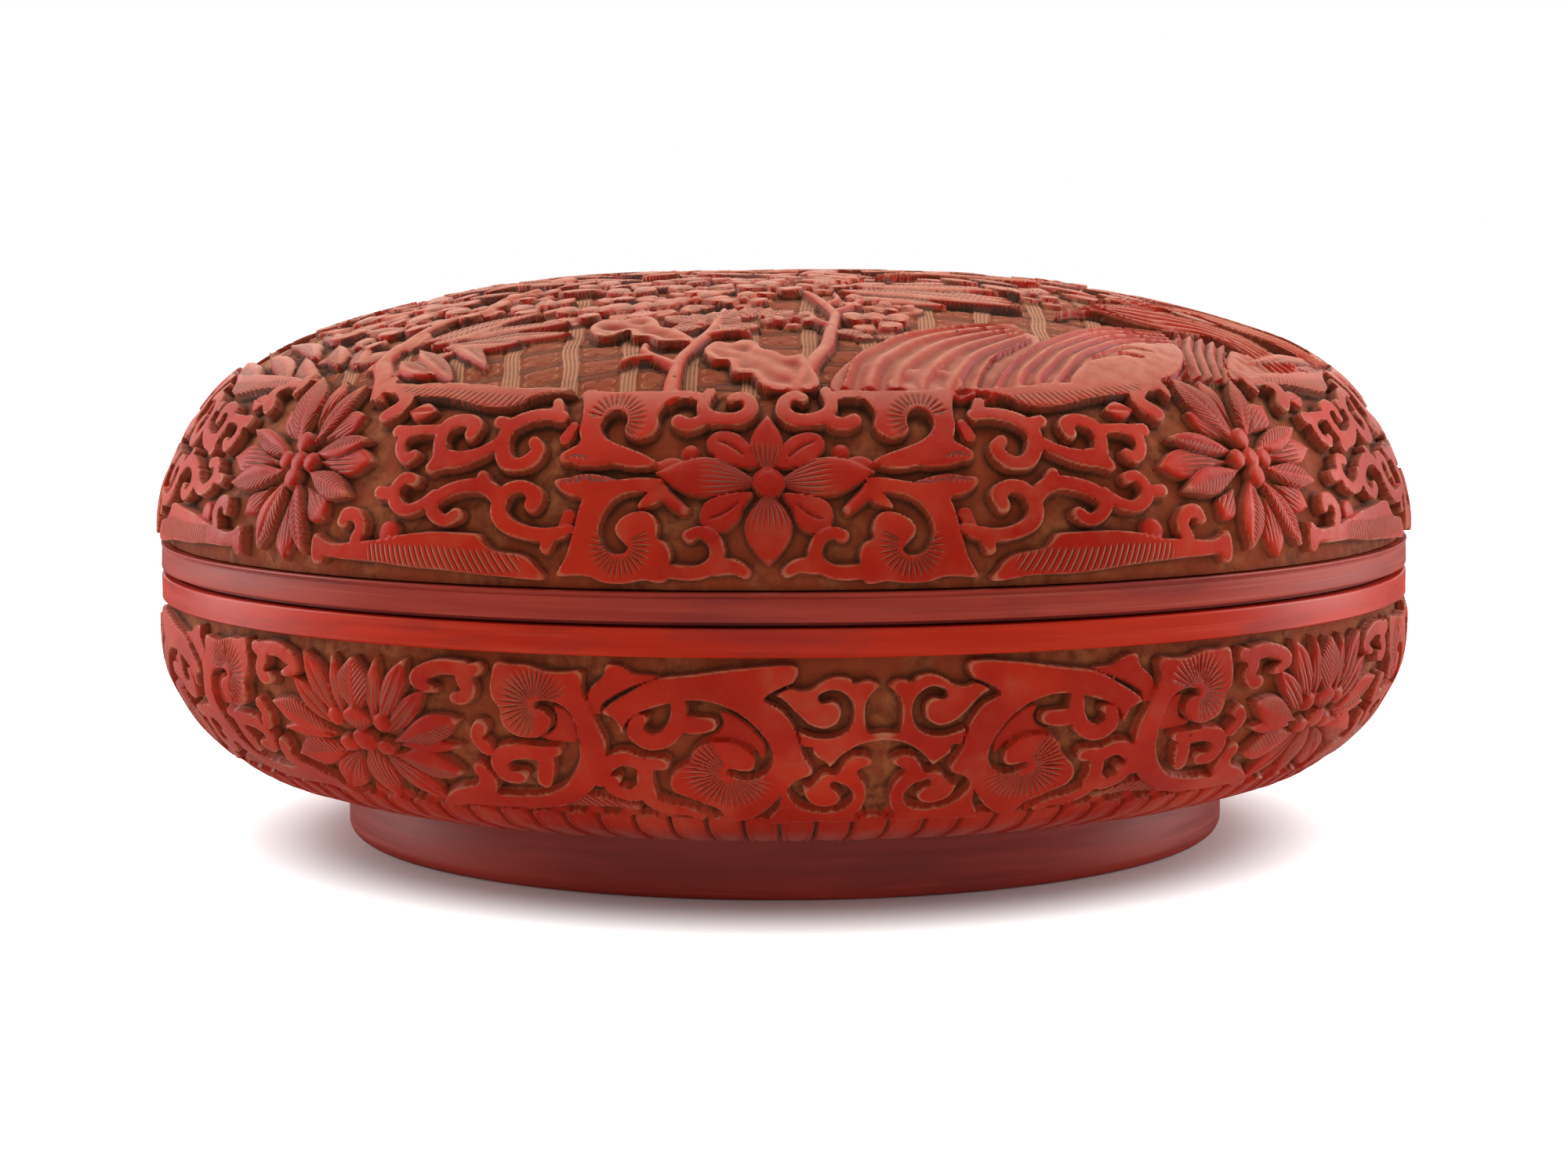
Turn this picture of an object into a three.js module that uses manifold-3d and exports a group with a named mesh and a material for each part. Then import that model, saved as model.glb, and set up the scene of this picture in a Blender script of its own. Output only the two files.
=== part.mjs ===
// A round carved lacquer box with a lift-off domed lid, in millimetres, +Z up, standing on z = 0.
// Each half is a turned wooden core with a thick carved coat outside and a thin black coat inside.
// A hoop finishes each mouth, a collar in the lower half centres the lid, and a turned foot carries the
// bowl. The carving stands on the coat as flat-topped forms: a border of flowers, curled leaves and scrolls
// on both halves, in four quarters that are each mirrored on their axis, and a garden on the medallion.
import * as THREE from "three";
import { mergeVertices } from "three/addons/utils/BufferGeometryUtils.js";
import Module from "manifold-3d";

const wasm = await Module();
wasm.setup();

// Driving dimensions.
const bodyRadius = 125.9;
const mouthHeight = 54;
const lidRise = 58.4;
const footRadius = 88.4;
const footHeight = 11.6;
const footWall = 7.5;

// Thickness of each layer, from the tops of the carving inwards.
const carvingDepth = 2.4;
const coatBacking = 1;
const coreWall = 3.5;
const liningThickness = 0.8;
const floorThickness = 4.5;
const glueGap = 0.3;

// Mouth hoops and the collar that the lid drops over.
const lidHoopHeight = 5.75;
const bowlHoopHeight = 4.9;
const hoopInset = 0.9;
const hoopChamfer = 0.25;
const lidSeatGap = 0.3;
const collarRise = 5;
const collarDrop = 7;
const collarWall = 2.5;
const collarClearance = 0.4;
const collarBevel = 0.5;

// Foot ring edges.
const footFlare = 0.4;
const footRounding = 2.6;
const footInnerRounding = 1.2;

// Shallow ground under the row of small petals above the foot. The share is of the way out from the foot.
const petalRowShare = 0.669;
const petalRowDepth = 1.5;

// How far the carved forms are rooted under their ground, and the medallion's share of the radius.
const rootDepth = 1;
const medallionShare = 0.874;

// Angle of each border's first flower from the front, and the parts that each border repeats.
const lidAxisAngle = -1.4;
const bowlAxisAngle = 7.7;
const quarters = 4;

// Facets round a turned piece that shows, and round one that is covered.
const shownFacets = 44;
const coveredFacets = 24;

// Outline of the lid over the carving, as shares of bodyRadius and lidRise, from the mouth to the crown.
const lidOutlineShares = [
  [0.992, 0], [0.999, 0.1], [1, 0.16], [0.996, 0.23], [0.988, 0.3], [0.974, 0.37], [0.957, 0.446],
  [0.933, 0.531], [0.904, 0.61], [0.868, 0.676], [0.822, 0.737], [0.776, 0.78], [0.682, 0.844],
  [0.593, 0.894], [0.518, 0.93], [0.446, 0.957], [0.318, 0.984], [0.159, 0.998], [0, 1],
];

// Outline of the bowl over the carving, from the mouth to the foot, as shares of the way out from the foot
// to the body and of the bowl's depth.
const bowlOutlineShares = [
  [0.973, 0], [0.99, 0.239], [0.97, 0.43], [0.899, 0.573], [0.792, 0.716],
  [0.587, 0.878], [0.443, 0.936], [0.228, 0.988], [0, 1],
];

// Spacing of the points of a layer, closer where it curves more, on what shows and on what is covered.
const lidSpacingShares = [0, 0.1, 0.19, 0.28, 0.36, 0.44, 0.57, 0.76, 1];
const wallSpacingShares = [0, 0.26, 0.47, 0.65, 0.82, 1];
const petalRowSpacingShares = [0, 0.35, 0.7, 1];
const lidCoverSpacingShares = [0, 0.19, 0.28, 0.44, 0.76, 1];
const wallCoverSpacingShares = [0, 0.3, 0.55, 0.78, 1];

// Carved forms of a border. The first share runs from the axis to the next axis of the mirror, an eighth of
// a turn away, and the second from the mouth hoop to the far edge of the border.
// A flower has its centre, its number of petals and their reach along the border and across it.
const lidFlower = { centreShare: [0, 0.47], petals: 4, reachShare: [0.197, 0.385] };
const lidBlossom = { centreShare: [1, 0.51], petals: 8, reachShare: [0.19, 0.45] };
const bowlLotus = { centreShare: [1, 0.5], petals: 8, reachShare: [0.22, 0.45] };

// A petal's points as shares of its reach and of the way on to the next petal: the waist before it, its two
// shoulders and its tip.
const petalShares = [[0.3, -0.5], [0.7, -0.2], [1, 0], [0.7, 0.2]];

// A curled leaf or scroll is a band: its half width, then the places that it runs through.
const lidBandShares = [
  [0.03, [[0.19, 0.54], [0.33, 0.63], [0.33, 0.86], [0.22, 0.88], [0.24, 0.71]]],
  [0.03, [[0.19, 0.44], [0.34, 0.36], [0.34, 0.12], [0.21, 0.1], [0.23, 0.27]]],
  [0.017, [[0.38, 0.8], [0.48, 0.75], [0.49, 0.58], [0.41, 0.57]]],
  [0.017, [[0.38, 0.25], [0.47, 0.28], [0.48, 0.44], [0.4, 0.45]]],
  [0.02, [[0.4, 0.06], [0.6, 0.13], [0.88, 0.08]]],
];
const bowlBandShares = [
  [0.03, [[0.19, 0.22], [0.17, 0.62], [0.28, 0.88], [0.35, 0.6], [0.24, 0.54]]],
  [0.02, [[0.03, 0.11], [0.14, 0.08], [0.15, 0.25], [0.07, 0.25]]],
  [0.025, [[0.57, 0.1], [0.5, 0.45], [0.6, 0.84], [0.86, 0.94]]],
  [0.022, [[0.28, 0.08], [0.45, 0.18], [0.4, 0.38]]],
];

// Share of its half width that a band has at its two ends.
const bandEndShare = 0.5;

// Forms of the medallion, as shares of its radius from the middle, with the front at the bottom.
const rockShares = [
  [[0.08, -0.98], [0.13, -0.87], [0.26, -0.76], [0.4, -0.7], [0.38, -0.85], [0.34, -0.93]],
  [[0.36, -0.93], [0.46, -0.72], [0.62, -0.56], [0.68, -0.57], [0.68, -0.7], [0.5, -0.86]],
  [[0.55, -0.5], [0.7, -0.42], [0.85, -0.46], [0.9, -0.36], [0.7, -0.28], [0.6, -0.36]],
  [[0.66, -0.12], [0.8, -0.04], [0.98, -0.08], [0.97, 0.06], [0.8, 0.1], [0.66, 0.02]],
  [[-0.6, 0.36], [-0.8, 0.3], [-0.92, 0.26], [-0.86, 0.42], [-0.7, 0.48], [-0.56, 0.44]],
];
const trunkShares = [
  [0.014, [[-0.175, -0.98], [-0.16, -0.89], [-0.11, -0.76], [-0.1, -0.6]]],
  [0.014, [[0.03, -0.98], [0.07, -0.86], [0.08, -0.74], [0.05, -0.58]]],
  [0.014, [[-0.66, -0.74], [-0.65, -0.66], [-0.61, -0.5]]],
];

// A bloom's place and reach.
const bloomShares = [
  [0, 0, 0.12], [-0.27, -0.58, 0.1], [-0.03, -0.42, 0.1], [-0.55, -0.35, 0.1],
  [-0.3, 0.45, 0.11], [0.3, 0.45, 0.11],
];
const bloomPetals = 5;

const redLacquer = { color: 0x9c2f24, roughness: 0.5, metalness: 0 };
const rimLacquer = { color: 0xb52a16, roughness: 0.35, metalness: 0 };
const footLacquer = { color: 0x6e2620, roughness: 0.4, metalness: 0 };
const blackLacquer = { color: 0x14100f, roughness: 0.25, metalness: 0 };
const bareWood = { color: 0x9a7a55, roughness: 0.8, metalness: 0 };

// Smooth outline through the given shares of the way between two radii and of a height, with the radius
// along x and the height along y.
function outline(shares, low, high, height) {
  const points = shares.map(([r, h]) => new THREE.Vector2(low + r * (high - low), h * height));
  return new THREE.SplineCurve(points);
}

const lidOutline = outline(lidOutlineShares, 0, bodyRadius, lidRise);
const bowlOutline = outline(bowlOutlineShares, footRadius, bodyRadius, footHeight - mouthHeight);
const mouthRadius = bodyRadius - hoopInset;
const petalRowRadius = footRadius + petalRowShare * (bodyRadius - footRadius);
const medallionRadius = medallionShare * bodyRadius;

// The layer surface that lies depth under the outline, at share t of its length.
function under(curve, t, depth) {
  const point = curve.getPointAt(t);
  const along = curve.getTangentAt(t);
  const inward = new THREE.Vector2(-along.y, along.x);
  if (inward.dot(new THREE.Vector2(-point.x, -point.y)) < 0) inward.negate();
  const moved = point.clone().addScaledVector(inward, depth);
  return new THREE.Vector2(Math.max(moved.x, 0), moved.y);
}

// Share of the outline's length where the layer at this depth reaches a given height or radius.
function shareWhere(curve, depth, reached) {
  let low = 0;
  let high = 1;
  for (let step = 0; step < 40; step++) {
    const middle = (low + high) / 2;
    if (reached(under(curve, middle, depth))) high = middle;
    else low = middle;
  }
  return high;
}

// Points of a layer between two shares of the outline, spaced as the given shares say.
function layer(curve, depth, from, to, spacingShares) {
  return spacingShares.map((share) => under(curve, from + (to - from) * share, depth));
}

// Turns a closed profile about Z. Heights are measured from base.
function turned(profile, facets, base) {
  const loop = profile.map((p) => new THREE.Vector2(p.x, p.y + base));
  const closed = loop[0].distanceTo(loop[loop.length - 1]) === 0;
  const onAxis = loop[0].x === 0 && loop[loop.length - 1].x === 0;
  if (!closed && !onAxis) loop.push(loop[0].clone());
  let area = 0;
  for (let i = 0; i < loop.length; i++) {
    const next = loop[(i + 1) % loop.length];
    area += loop[i].x * next.y - next.x * loop[i].y;
  }
  if (area < 0) loop.reverse();
  return new THREE.LatheGeometry(loop, facets).rotateX(Math.PI / 2);
}

function piece(name, geometry, finish) {
  const mesh = new THREE.Mesh(geometry, new THREE.MeshStandardMaterial(finish));
  mesh.name = name;
  return mesh;
}

const at = (x, y) => new THREE.Vector2(x, y);

// Depths of the layers under the outline.
const coatInner = carvingDepth + coatBacking;
const coreOuter = coatInner + glueGap;
const coreInner = coreOuter + coreWall;
const liningOuter = coreInner + glueGap;
const liningInner = liningOuter + liningThickness;

// One face of a layer of the lid, from the mouth hoop's top to the crown.
function lidFace(depth, spacingShares) {
  const start = lidHoopHeight + glueGap;
  const from = shareWhere(lidOutline, depth, (p) => p.y > start);
  const points = layer(lidOutline, depth, from, 1, spacingShares);
  points[0].y = start;
  points[points.length - 1].x = 0;
  return points;
}

// A layer of the lid between two depths.
function lidLayer(outer, inner, facets, spacingShares) {
  const outside = lidFace(outer, spacingShares);
  const inside = lidFace(inner, spacingShares);
  return turned([...outside.reverse(), ...inside], facets, mouthHeight);
}

// Hoop between two heights from the mouth, with small chamfers on its outer corners.
function hoop(low, high, innerRadius) {
  return turned([
    at(innerRadius, low),
    at(mouthRadius - hoopChamfer, low),
    at(mouthRadius, low + hoopChamfer),
    at(mouthRadius, high - hoopChamfer),
    at(mouthRadius - hoopChamfer, high),
    at(innerRadius, high),
  ], shownFacets, mouthHeight);
}

// Heights below are measured from the table.
const footTop = footHeight + coatInner;
const footInnerRadius = footRadius - footWall;
const bowlEdge = mouthHeight - lidSeatGap - bowlHoopHeight - glueGap;
const wellCeiling = footTop - liningThickness;

// One face of the bowl's wall, from the mouth hoop down to where the test is met.
function bowlFace(depth, reached, spacingShares) {
  const table = (p) => at(p.x, p.y + mouthHeight);
  const from = shareWhere(bowlOutline, depth, (p) => table(p).y < bowlEdge);
  const to = shareWhere(bowlOutline, depth, (p) => reached(table(p)));
  const points = layer(bowlOutline, depth, from, to, spacingShares).map(table);
  points[0].y = bowlEdge;
  return points;
}

// The bore that both linings leave at the mouth, and the collar that fits it.
const lidBore = lidFace(liningInner, lidCoverSpacingShares)[0].x;
const bowlBore = bowlFace(liningInner, (p) => p.y < footTop, wallCoverSpacingShares)[0].x;
const boreRadius = Math.min(lidBore, bowlBore);
const collarRadius = boreRadius - collarClearance;

function collar() {
  const inner = collarRadius - collarWall;
  return turned([
    at(inner, -collarDrop),
    at(collarRadius, -collarDrop),
    at(collarRadius, collarRise - collarBevel),
    at(collarRadius - collarBevel, collarRise),
    at(inner + collarBevel, collarRise),
    at(inner, collarRise - collarBevel),
  ], coveredFacets, mouthHeight);
}

const coatEndRadius = footRadius + glueGap;

// The bowl's ground, from the mouth hoop over the border and the row of small petals to the foot.
function bowlGround() {
  const wall = bowlFace(carvingDepth, (p) => p.x < petalRowRadius, wallSpacingShares);
  const wallEnd = shareWhere(bowlOutline, petalRowDepth, (p) => p.x < petalRowRadius);
  const footEnd = shareWhere(bowlOutline, petalRowDepth, (p) => p.x < coatEndRadius);
  const petalGround = layer(bowlOutline, petalRowDepth, wallEnd, footEnd, petalRowSpacingShares)
    .map((p) => at(p.x, p.y + mouthHeight));
  return [...wall, ...petalGround];
}

// A flat-bottomed layer of the bowl between two depths, whose floor lies between two heights.
function bowlShell(outer, inner, floorLow, floorHigh) {
  const outside = bowlFace(outer, (p) => p.y < floorLow, wallCoverSpacingShares);
  const inside = bowlFace(inner, (p) => p.y < floorHigh, wallCoverSpacingShares);
  return turned([at(0, floorLow), ...outside.reverse(), ...inside, at(0, floorHigh)], coveredFacets, 0);
}

const coreUnderside = footTop + glueGap;
const coreFloor = coreUnderside + floorThickness;
const liningUnderside = coreFloor + glueGap;

function footRing() {
  const corner = (centre, radius, from, to, steps) => {
    const points = [];
    for (let i = 0; i <= steps; i++) {
      const angle = from + ((to - from) * i) / steps;
      points.push(at(centre.x + radius * Math.cos(angle), centre.y + radius * Math.sin(angle)));
    }
    return points;
  };
  const belly = footRadius + footFlare;
  const outerCentre = at(belly - footRounding, footRounding);
  const innerCentre = at(footInnerRadius + footInnerRounding, footInnerRounding);
  return turned([
    ...corner(innerCentre, footInnerRounding, Math.PI, 1.5 * Math.PI, 1),
    ...corner(outerCentre, footRounding, 1.5 * Math.PI, 2 * Math.PI, 3),
    at(footRadius, footTop),
    at(footInnerRadius, footTop),
  ], shownFacets, 0);
}

function footWellCoat() {
  const radius = footInnerRadius - glueGap;
  const profile = [at(0, wellCeiling), at(radius, wellCeiling), at(radius, footTop), at(0, footTop)];
  return turned(profile, coveredFacets, 0);
}

// Joins and cuts of closed solids.
function solid(geometry) {
  const plain = geometry.clone();
  plain.deleteAttribute("normal");
  plain.deleteAttribute("uv");
  const merged = mergeVertices(plain);
  const index = merged.getIndex().array;
  const faces = [];
  for (let i = 0; i < index.length; i += 3) {
    const [a, b, c] = [index[i], index[i + 1], index[i + 2]];
    if (a !== b && b !== c && c !== a) faces.push(a, b, c);
  }
  const vertProperties = Float32Array.from(merged.getAttribute("position").array);
  return new wasm.Manifold(new wasm.Mesh({ numProp: 3, vertProperties, triVerts: Uint32Array.from(faces) }));
}

function faceted(manifold) {
  const { vertProperties, triVerts } = manifold.getMesh();
  const geometry = new THREE.BufferGeometry();
  geometry.setAttribute("position", new THREE.BufferAttribute(vertProperties, 3));
  geometry.setIndex(new THREE.BufferAttribute(triVerts, 1));
  const flat = geometry.toNonIndexed();
  flat.computeVertexNormals();
  return flat;
}

// Faces of a band's cap, as quads across it from one end to the other.
function bandCap(count) {
  const faces = [];
  for (let i = 0; i < count / 2 - 1; i++) {
    const [near, far] = [count - 1 - i, count - 2 - i];
    faces.push([i, i + 1, far], [i, far, near]);
  }
  return faces;
}

// A prism between two rings of points that run round the same flat outline.
function prism(flat, near, far, isBand) {
  if (THREE.ShapeUtils.isClockWise(flat)) [flat, near, far].forEach((ring) => ring.reverse());
  const count = flat.length;
  const caps = isBand ? bandCap(count) : THREE.ShapeUtils.triangulateShape(flat, []);
  const faces = caps.flatMap(([a, b, c]) => [a, b, c, count + a, count + c, count + b]);
  for (let i = 0; i < count; i++) {
    const next = (i + 1) % count;
    faces.push(i, count + i, next, next, count + i, count + next);
  }
  const rings = [...near, ...far];
  let volume = 0;
  for (let i = 0; i < faces.length; i += 3) {
    volume += rings[faces[i]].dot(rings[faces[i + 1]].clone().cross(rings[faces[i + 2]]));
  }
  if (volume < 0) faces.reverse();
  const vertProperties = Float32Array.from(rings.flatMap((p) => [p.x, p.y, p.z]));
  return new wasm.Manifold(new wasm.Mesh({ numProp: 3, vertProperties, triVerts: Uint32Array.from(faces) }));
}

// A border's flat map: its place on a turned outline for the two shares of a carved form.
function borderMap(curve, from, to, base, axisAngle) {
  const eighth = 180 / quarters;
  const place = ([x, y], turn, side, depth) => {
    const share = Math.min(Math.max(from + (to - from) * y, 0), 1);
    const point = under(curve, share, depth);
    const angle = THREE.MathUtils.degToRad(axisAngle + turn * 2 * eighth + side * x * eighth);
    return new THREE.Vector3(point.x * Math.sin(angle), -point.x * Math.cos(angle), point.y + base);
  };
  const across = THREE.MathUtils.degToRad(eighth) * bodyRadius;
  const along = Math.abs(to - from) * curve.getLength();
  return { place, aspect: across / along };
}

// A form of a border, as a prism from its root to the tops of the carving.
function borderForm(map, outlineShares, turn, side, isBand) {
  const flat = outlineShares.map(([x, y]) => at(x * map.aspect, y));
  const near = outlineShares.map((p) => map.place(p, turn, side, 0));
  const far = outlineShares.map((p) => map.place(p, turn, side, carvingDepth + rootDepth));
  return prism(flat, near, far, isBand);
}

// Outline of a flower, with its petals spread evenly round it.
function flowerOutline({ centreShare, petals, reachShare }) {
  const outlineShares = [];
  for (let i = 0; i < petals; i++) {
    for (const [along, aside] of petalShares) {
      const angle = ((i + aside) * 2 * Math.PI) / petals;
      outlineShares.push([
        centreShare[0] + along * reachShare[0] * Math.cos(angle),
        centreShare[1] + along * reachShare[1] * Math.sin(angle),
      ]);
    }
  }
  return outlineShares;
}

// Outline of a band through places, with narrower ends.
function bandOutline([halfWidth, places], aspect) {
  const last = places.length - 1;
  const left = [];
  const right = [];
  places.forEach(([x, y], i) => {
    const [before, after] = [places[Math.max(i - 1, 0)], places[Math.min(i + 1, last)]];
    const way = at(after[0] - before[0], (after[1] - before[1]) / aspect).normalize();
    const half = i === 0 || i === last ? bandEndShare * halfWidth : halfWidth;
    left.push([x - way.y * half, y + way.x * half * aspect]);
    right.push([x + way.y * half, y - way.x * half * aspect]);
  });
  return [...left, ...right.reverse()];
}

// Every form of a border, round the four quarters and on both sides of each axis.
function border(map, flowers, bands) {
  const outlines = bands.map((band) => bandOutline(band, map.aspect));
  const forms = [];
  for (let turn = 0; turn < quarters; turn++) {
    for (const flower of flowers) forms.push(borderForm(map, flowerOutline(flower), turn, 1, false));
    for (const side of [-1, 1]) {
      for (const outlineShares of outlines) forms.push(borderForm(map, outlineShares, turn, side, true));
    }
  }
  return forms;
}

// A form of the medallion, upright from its root to the tops of the carving.
function medallionForm(outlineShares, isBand) {
  const flat = outlineShares.map(([x, y]) => at(x * medallionRadius, y * medallionRadius));
  const ring = (depth) => flat.map((p) => {
    const share = shareWhere(lidOutline, depth, (q) => q.x < p.length() && q.y > lidRise / 2);
    return new THREE.Vector3(p.x, p.y, under(lidOutline, share, depth).y + mouthHeight);
  });
  return prism(flat, ring(0), ring(carvingDepth + rootDepth), isBand);
}

function medallion() {
  const blooms = bloomShares.map(([x, y, reach]) => (
    flowerOutline({ centreShare: [x, y], petals: bloomPetals, reachShare: [reach, reach] })));
  const plates = [...rockShares, ...blooms].map((outlineShares) => medallionForm(outlineShares, false));
  const trunks = trunkShares.map((trunk) => medallionForm(bandOutline(trunk, 1), true));
  return [...plates, ...trunks];
}

// The coat: its ground with the forms joined on, hollowed to the inside of the coat.
function carved(ground, hollow, forms) {
  return faceted(wasm.Manifold.union([solid(ground), ...forms]).subtract(solid(hollow)));
}

function lidCarvedCoat() {
  const from = shareWhere(lidOutline, 0, (p) => p.y > lidHoopHeight + glueGap);
  const to = shareWhere(lidOutline, 0, (p) => p.x < medallionRadius && p.y > lidRise / 2);
  const map = borderMap(lidOutline, from, to, mouthHeight, lidAxisAngle);
  const forms = [...border(map, [lidFlower, lidBlossom], lidBandShares), ...medallion()];
  const ground = lidFace(carvingDepth, lidSpacingShares);
  const hollow = lidFace(coatInner, lidCoverSpacingShares);
  const below = hollow[0].y - coatBacking;
  const groundSolid = turned([at(0, ground[0].y), ...ground], shownFacets, mouthHeight);
  const hollowSolid = turned([at(0, below), at(hollow[0].x, below), ...hollow], coveredFacets, mouthHeight);
  return carved(groundSolid, hollowSolid, forms);
}

function bowlCarvedCoat() {
  const table = (p) => p.y + mouthHeight;
  const from = shareWhere(bowlOutline, 0, (p) => table(p) < bowlEdge);
  const to = shareWhere(bowlOutline, 0, (p) => p.x < petalRowRadius);
  const map = borderMap(bowlOutline, from, to, mouthHeight, bowlAxisAngle);
  const forms = border(map, [bowlLotus], bowlBandShares);
  const ground = [...bowlGround(), at(coatEndRadius, bowlEdge)];
  const hollow = bowlFace(coatInner, (p) => p.y < footTop, wallCoverSpacingShares);
  const above = bowlEdge + coatBacking;
  const hollowProfile = [at(0, above), at(hollow[0].x, above), ...hollow, at(0, footTop)];
  return carved(turned(ground, shownFacets, 0), turned(hollowProfile, coveredFacets, 0), forms);
}

const bowl = new THREE.Group();
bowl.add(
  piece("bowl_carved_lacquer", bowlCarvedCoat(), redLacquer),
  piece("bowl_mouth_hoop",
    hoop(-lidSeatGap - bowlHoopHeight, -lidSeatGap, collarRadius + glueGap), rimLacquer),
  piece("bowl_wood_core", bowlShell(coreOuter, coreInner, coreUnderside, coreFloor), bareWood),
  piece("bowl_black_lining",
    bowlShell(liningOuter, liningInner, liningUnderside, liningUnderside + liningThickness), blackLacquer),
  piece("lid_locating_collar", collar(), blackLacquer),
  piece("foot_ring", footRing(), footLacquer),
  piece("foot_well_lining", footWellCoat(), blackLacquer),
);

const lid = new THREE.Group();
lid.add(
  piece("lid_carved_lacquer", lidCarvedCoat(), redLacquer),
  piece("lid_mouth_hoop", hoop(0, lidHoopHeight, boreRadius), rimLacquer),
  piece("lid_wood_core", lidLayer(coreOuter, coreInner, coveredFacets, lidCoverSpacingShares), bareWood),
  piece("lid_black_lining",
    lidLayer(liningOuter, liningInner, coveredFacets, lidCoverSpacingShares), blackLacquer),
);

const box = new THREE.Group();
box.add(bowl, lid);

export default box;
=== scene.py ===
"""A round carved lacquer box with a lift-off domed lid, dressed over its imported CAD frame.

The carving is a height field over the turned outline: each motif is laid on the surface as a shape with a
steep wall and a flat or crowned top, and the highest shape shows.
"""
import math

import bmesh
import bpy
import numpy as np
from bpy.props import FloatProperty, FloatVectorProperty, IntProperty, PointerProperty
from mathutils import Matrix, Vector


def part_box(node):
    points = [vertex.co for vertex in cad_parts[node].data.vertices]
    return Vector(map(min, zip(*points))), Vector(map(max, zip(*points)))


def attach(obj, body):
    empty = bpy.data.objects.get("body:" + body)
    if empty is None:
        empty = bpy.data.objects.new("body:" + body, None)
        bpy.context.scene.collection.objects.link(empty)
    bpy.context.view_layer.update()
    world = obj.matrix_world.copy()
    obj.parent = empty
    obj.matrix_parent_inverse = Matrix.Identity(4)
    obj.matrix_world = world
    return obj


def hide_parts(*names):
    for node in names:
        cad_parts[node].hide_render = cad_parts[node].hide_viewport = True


bl_info = {
    "name": "Carved lacquer box",
    "version": (1, 0, 0),
    "blender": (4, 5, 0),
    "location": "View3D > Sidebar > Carved box",
    "description": "Carved red lacquer box with a domed lid, built over its CAD frame",
    "category": "Object",
}

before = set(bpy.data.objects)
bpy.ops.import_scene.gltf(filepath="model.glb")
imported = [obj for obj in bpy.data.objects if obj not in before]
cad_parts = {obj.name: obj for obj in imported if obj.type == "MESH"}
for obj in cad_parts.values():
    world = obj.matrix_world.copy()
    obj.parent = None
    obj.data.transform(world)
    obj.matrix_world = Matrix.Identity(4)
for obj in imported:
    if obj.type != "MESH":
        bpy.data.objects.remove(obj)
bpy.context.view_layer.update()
MM = 0.001

# The carving, in mm: its depth from the tops down to the ground, the width of a wall seen from above, how far
# every outline is let out, and how far the top sinks in a strip along its edges.
FULL = 2.4
WALL_RUN = 0.42
OUTSET = 0.15
ROUNDING, EDGE_RUN = 0.12, 0.5

# Outline of the lid over the carving, from the mouth up: shares of the body radius and of the lid's rise.
LID_OUTLINE = [
    (0.992, 0), (0.999, 0.1), (1, 0.16), (0.996, 0.23), (0.988, 0.3), (0.974, 0.37), (0.957, 0.446),
    (0.933, 0.531), (0.904, 0.61), (0.868, 0.676), (0.822, 0.737), (0.776, 0.78), (0.682, 0.844),
    (0.593, 0.894), (0.518, 0.93), (0.446, 0.957), (0.318, 0.984), (0.159, 0.998), (0, 1)]

# Outline of the bowl over the carving, from the mouth down to the foot, in shares of the same kind.
BOWL_OUTLINE = [
    (0.992, 0), (0.997, 0.239), (0.991, 0.43), (0.97, 0.573), (0.938, 0.716), (0.877, 0.878),
    (0.834, 0.936), (0.77, 0.988), (0.702, 1)]

# The borders: length in mm of one degree round the body, angle in degrees of a flower on each half, and the
# width in degrees of one of the 110 small petals over the foot.
ARC = 2.1817
LID_AXIS, BOWL_AXIS = -1.4, 7.7
LAPPET_DEGREES = 360 / 110

# The medallion, in mm from the mouth: where its garden starts, where its ground starts and where the border
# ends. Two bands of its ground cross at DIAPER_START left of and in front of the axis, and again at every
# DIAPER_CELL. CLOUD_FOLDS is the height of a cloud fold's foot and the share of its width where it rises.
GARDEN_FROM, GROUND_FROM, BORDER_TO = 40, 43.6, 50
CLOUD_FOLDS = (0.8, 0.36)
DIAPER_CELL, DIAPER_START = (10.6, 7.5), (37.6, 98.9)

# The carved grids: columns round the box, then where each grid starts in mm from the mouth and its rows, all
# at the full size. The lid has a second grid inside SEAM_RADIUS, and the bowl wider rows past LAPPET_FROM.
# BOX_MIDDLE, in metres, tells inside from outside.
FULL_COLUMNS, FEWEST_ROWS = 2160, 20
LID_FROM, LID_ROWS, SEAM_RADIUS = 5.82, 106, 110.0
BOWL_FROM, BOWL_ROWS, BOWL_END_RADIUS = 5.25, 107, 88.7
LAPPET_FROM, LAPPET_ROWS = 44, 14
BOX_MIDDLE = (0, 0, 0.054)

# Edges over these angles in degrees stay sharp.
CARVING_ANGLE, TURNED_ANGLE = 58, 32

# The coats inside, as closed outlines of radius and height in mm.
LID_LINING = [
    (116.4, 60.0), (117.1, 60.0), (109.8, 81.5), (102.0, 88.7), (81.6, 96.5), (35.8, 104.2), (0, 104.9),
    (0, 104.1), (35.7, 103.4), (81.4, 95.7), (101.7, 88.0), (109.2, 80.9)]
BOWL_LINING = [
    (0, 20.1), (97.5, 20.1), (105.0, 22.8), (111.8, 29.0), (116.2, 36.9), (116.7, 48.5), (115.9, 48.5),
    (115.5, 37.2), (111.2, 29.5), (104.6, 23.5), (97.4, 20.9), (0, 20.9)]
FOOT_RECESS = [(0, 14.2), (80.6, 14.2), (80.6, 15.0), (0, 15.0)]

# Colours of the lacquer that the sidebar doesn't show, linear.
PINHOLE, SMEAR, SHEEN = (0.02, 0.008, 0.006), (0.10, 0.018, 0.022), (1, 0.72, 0.6)

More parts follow.
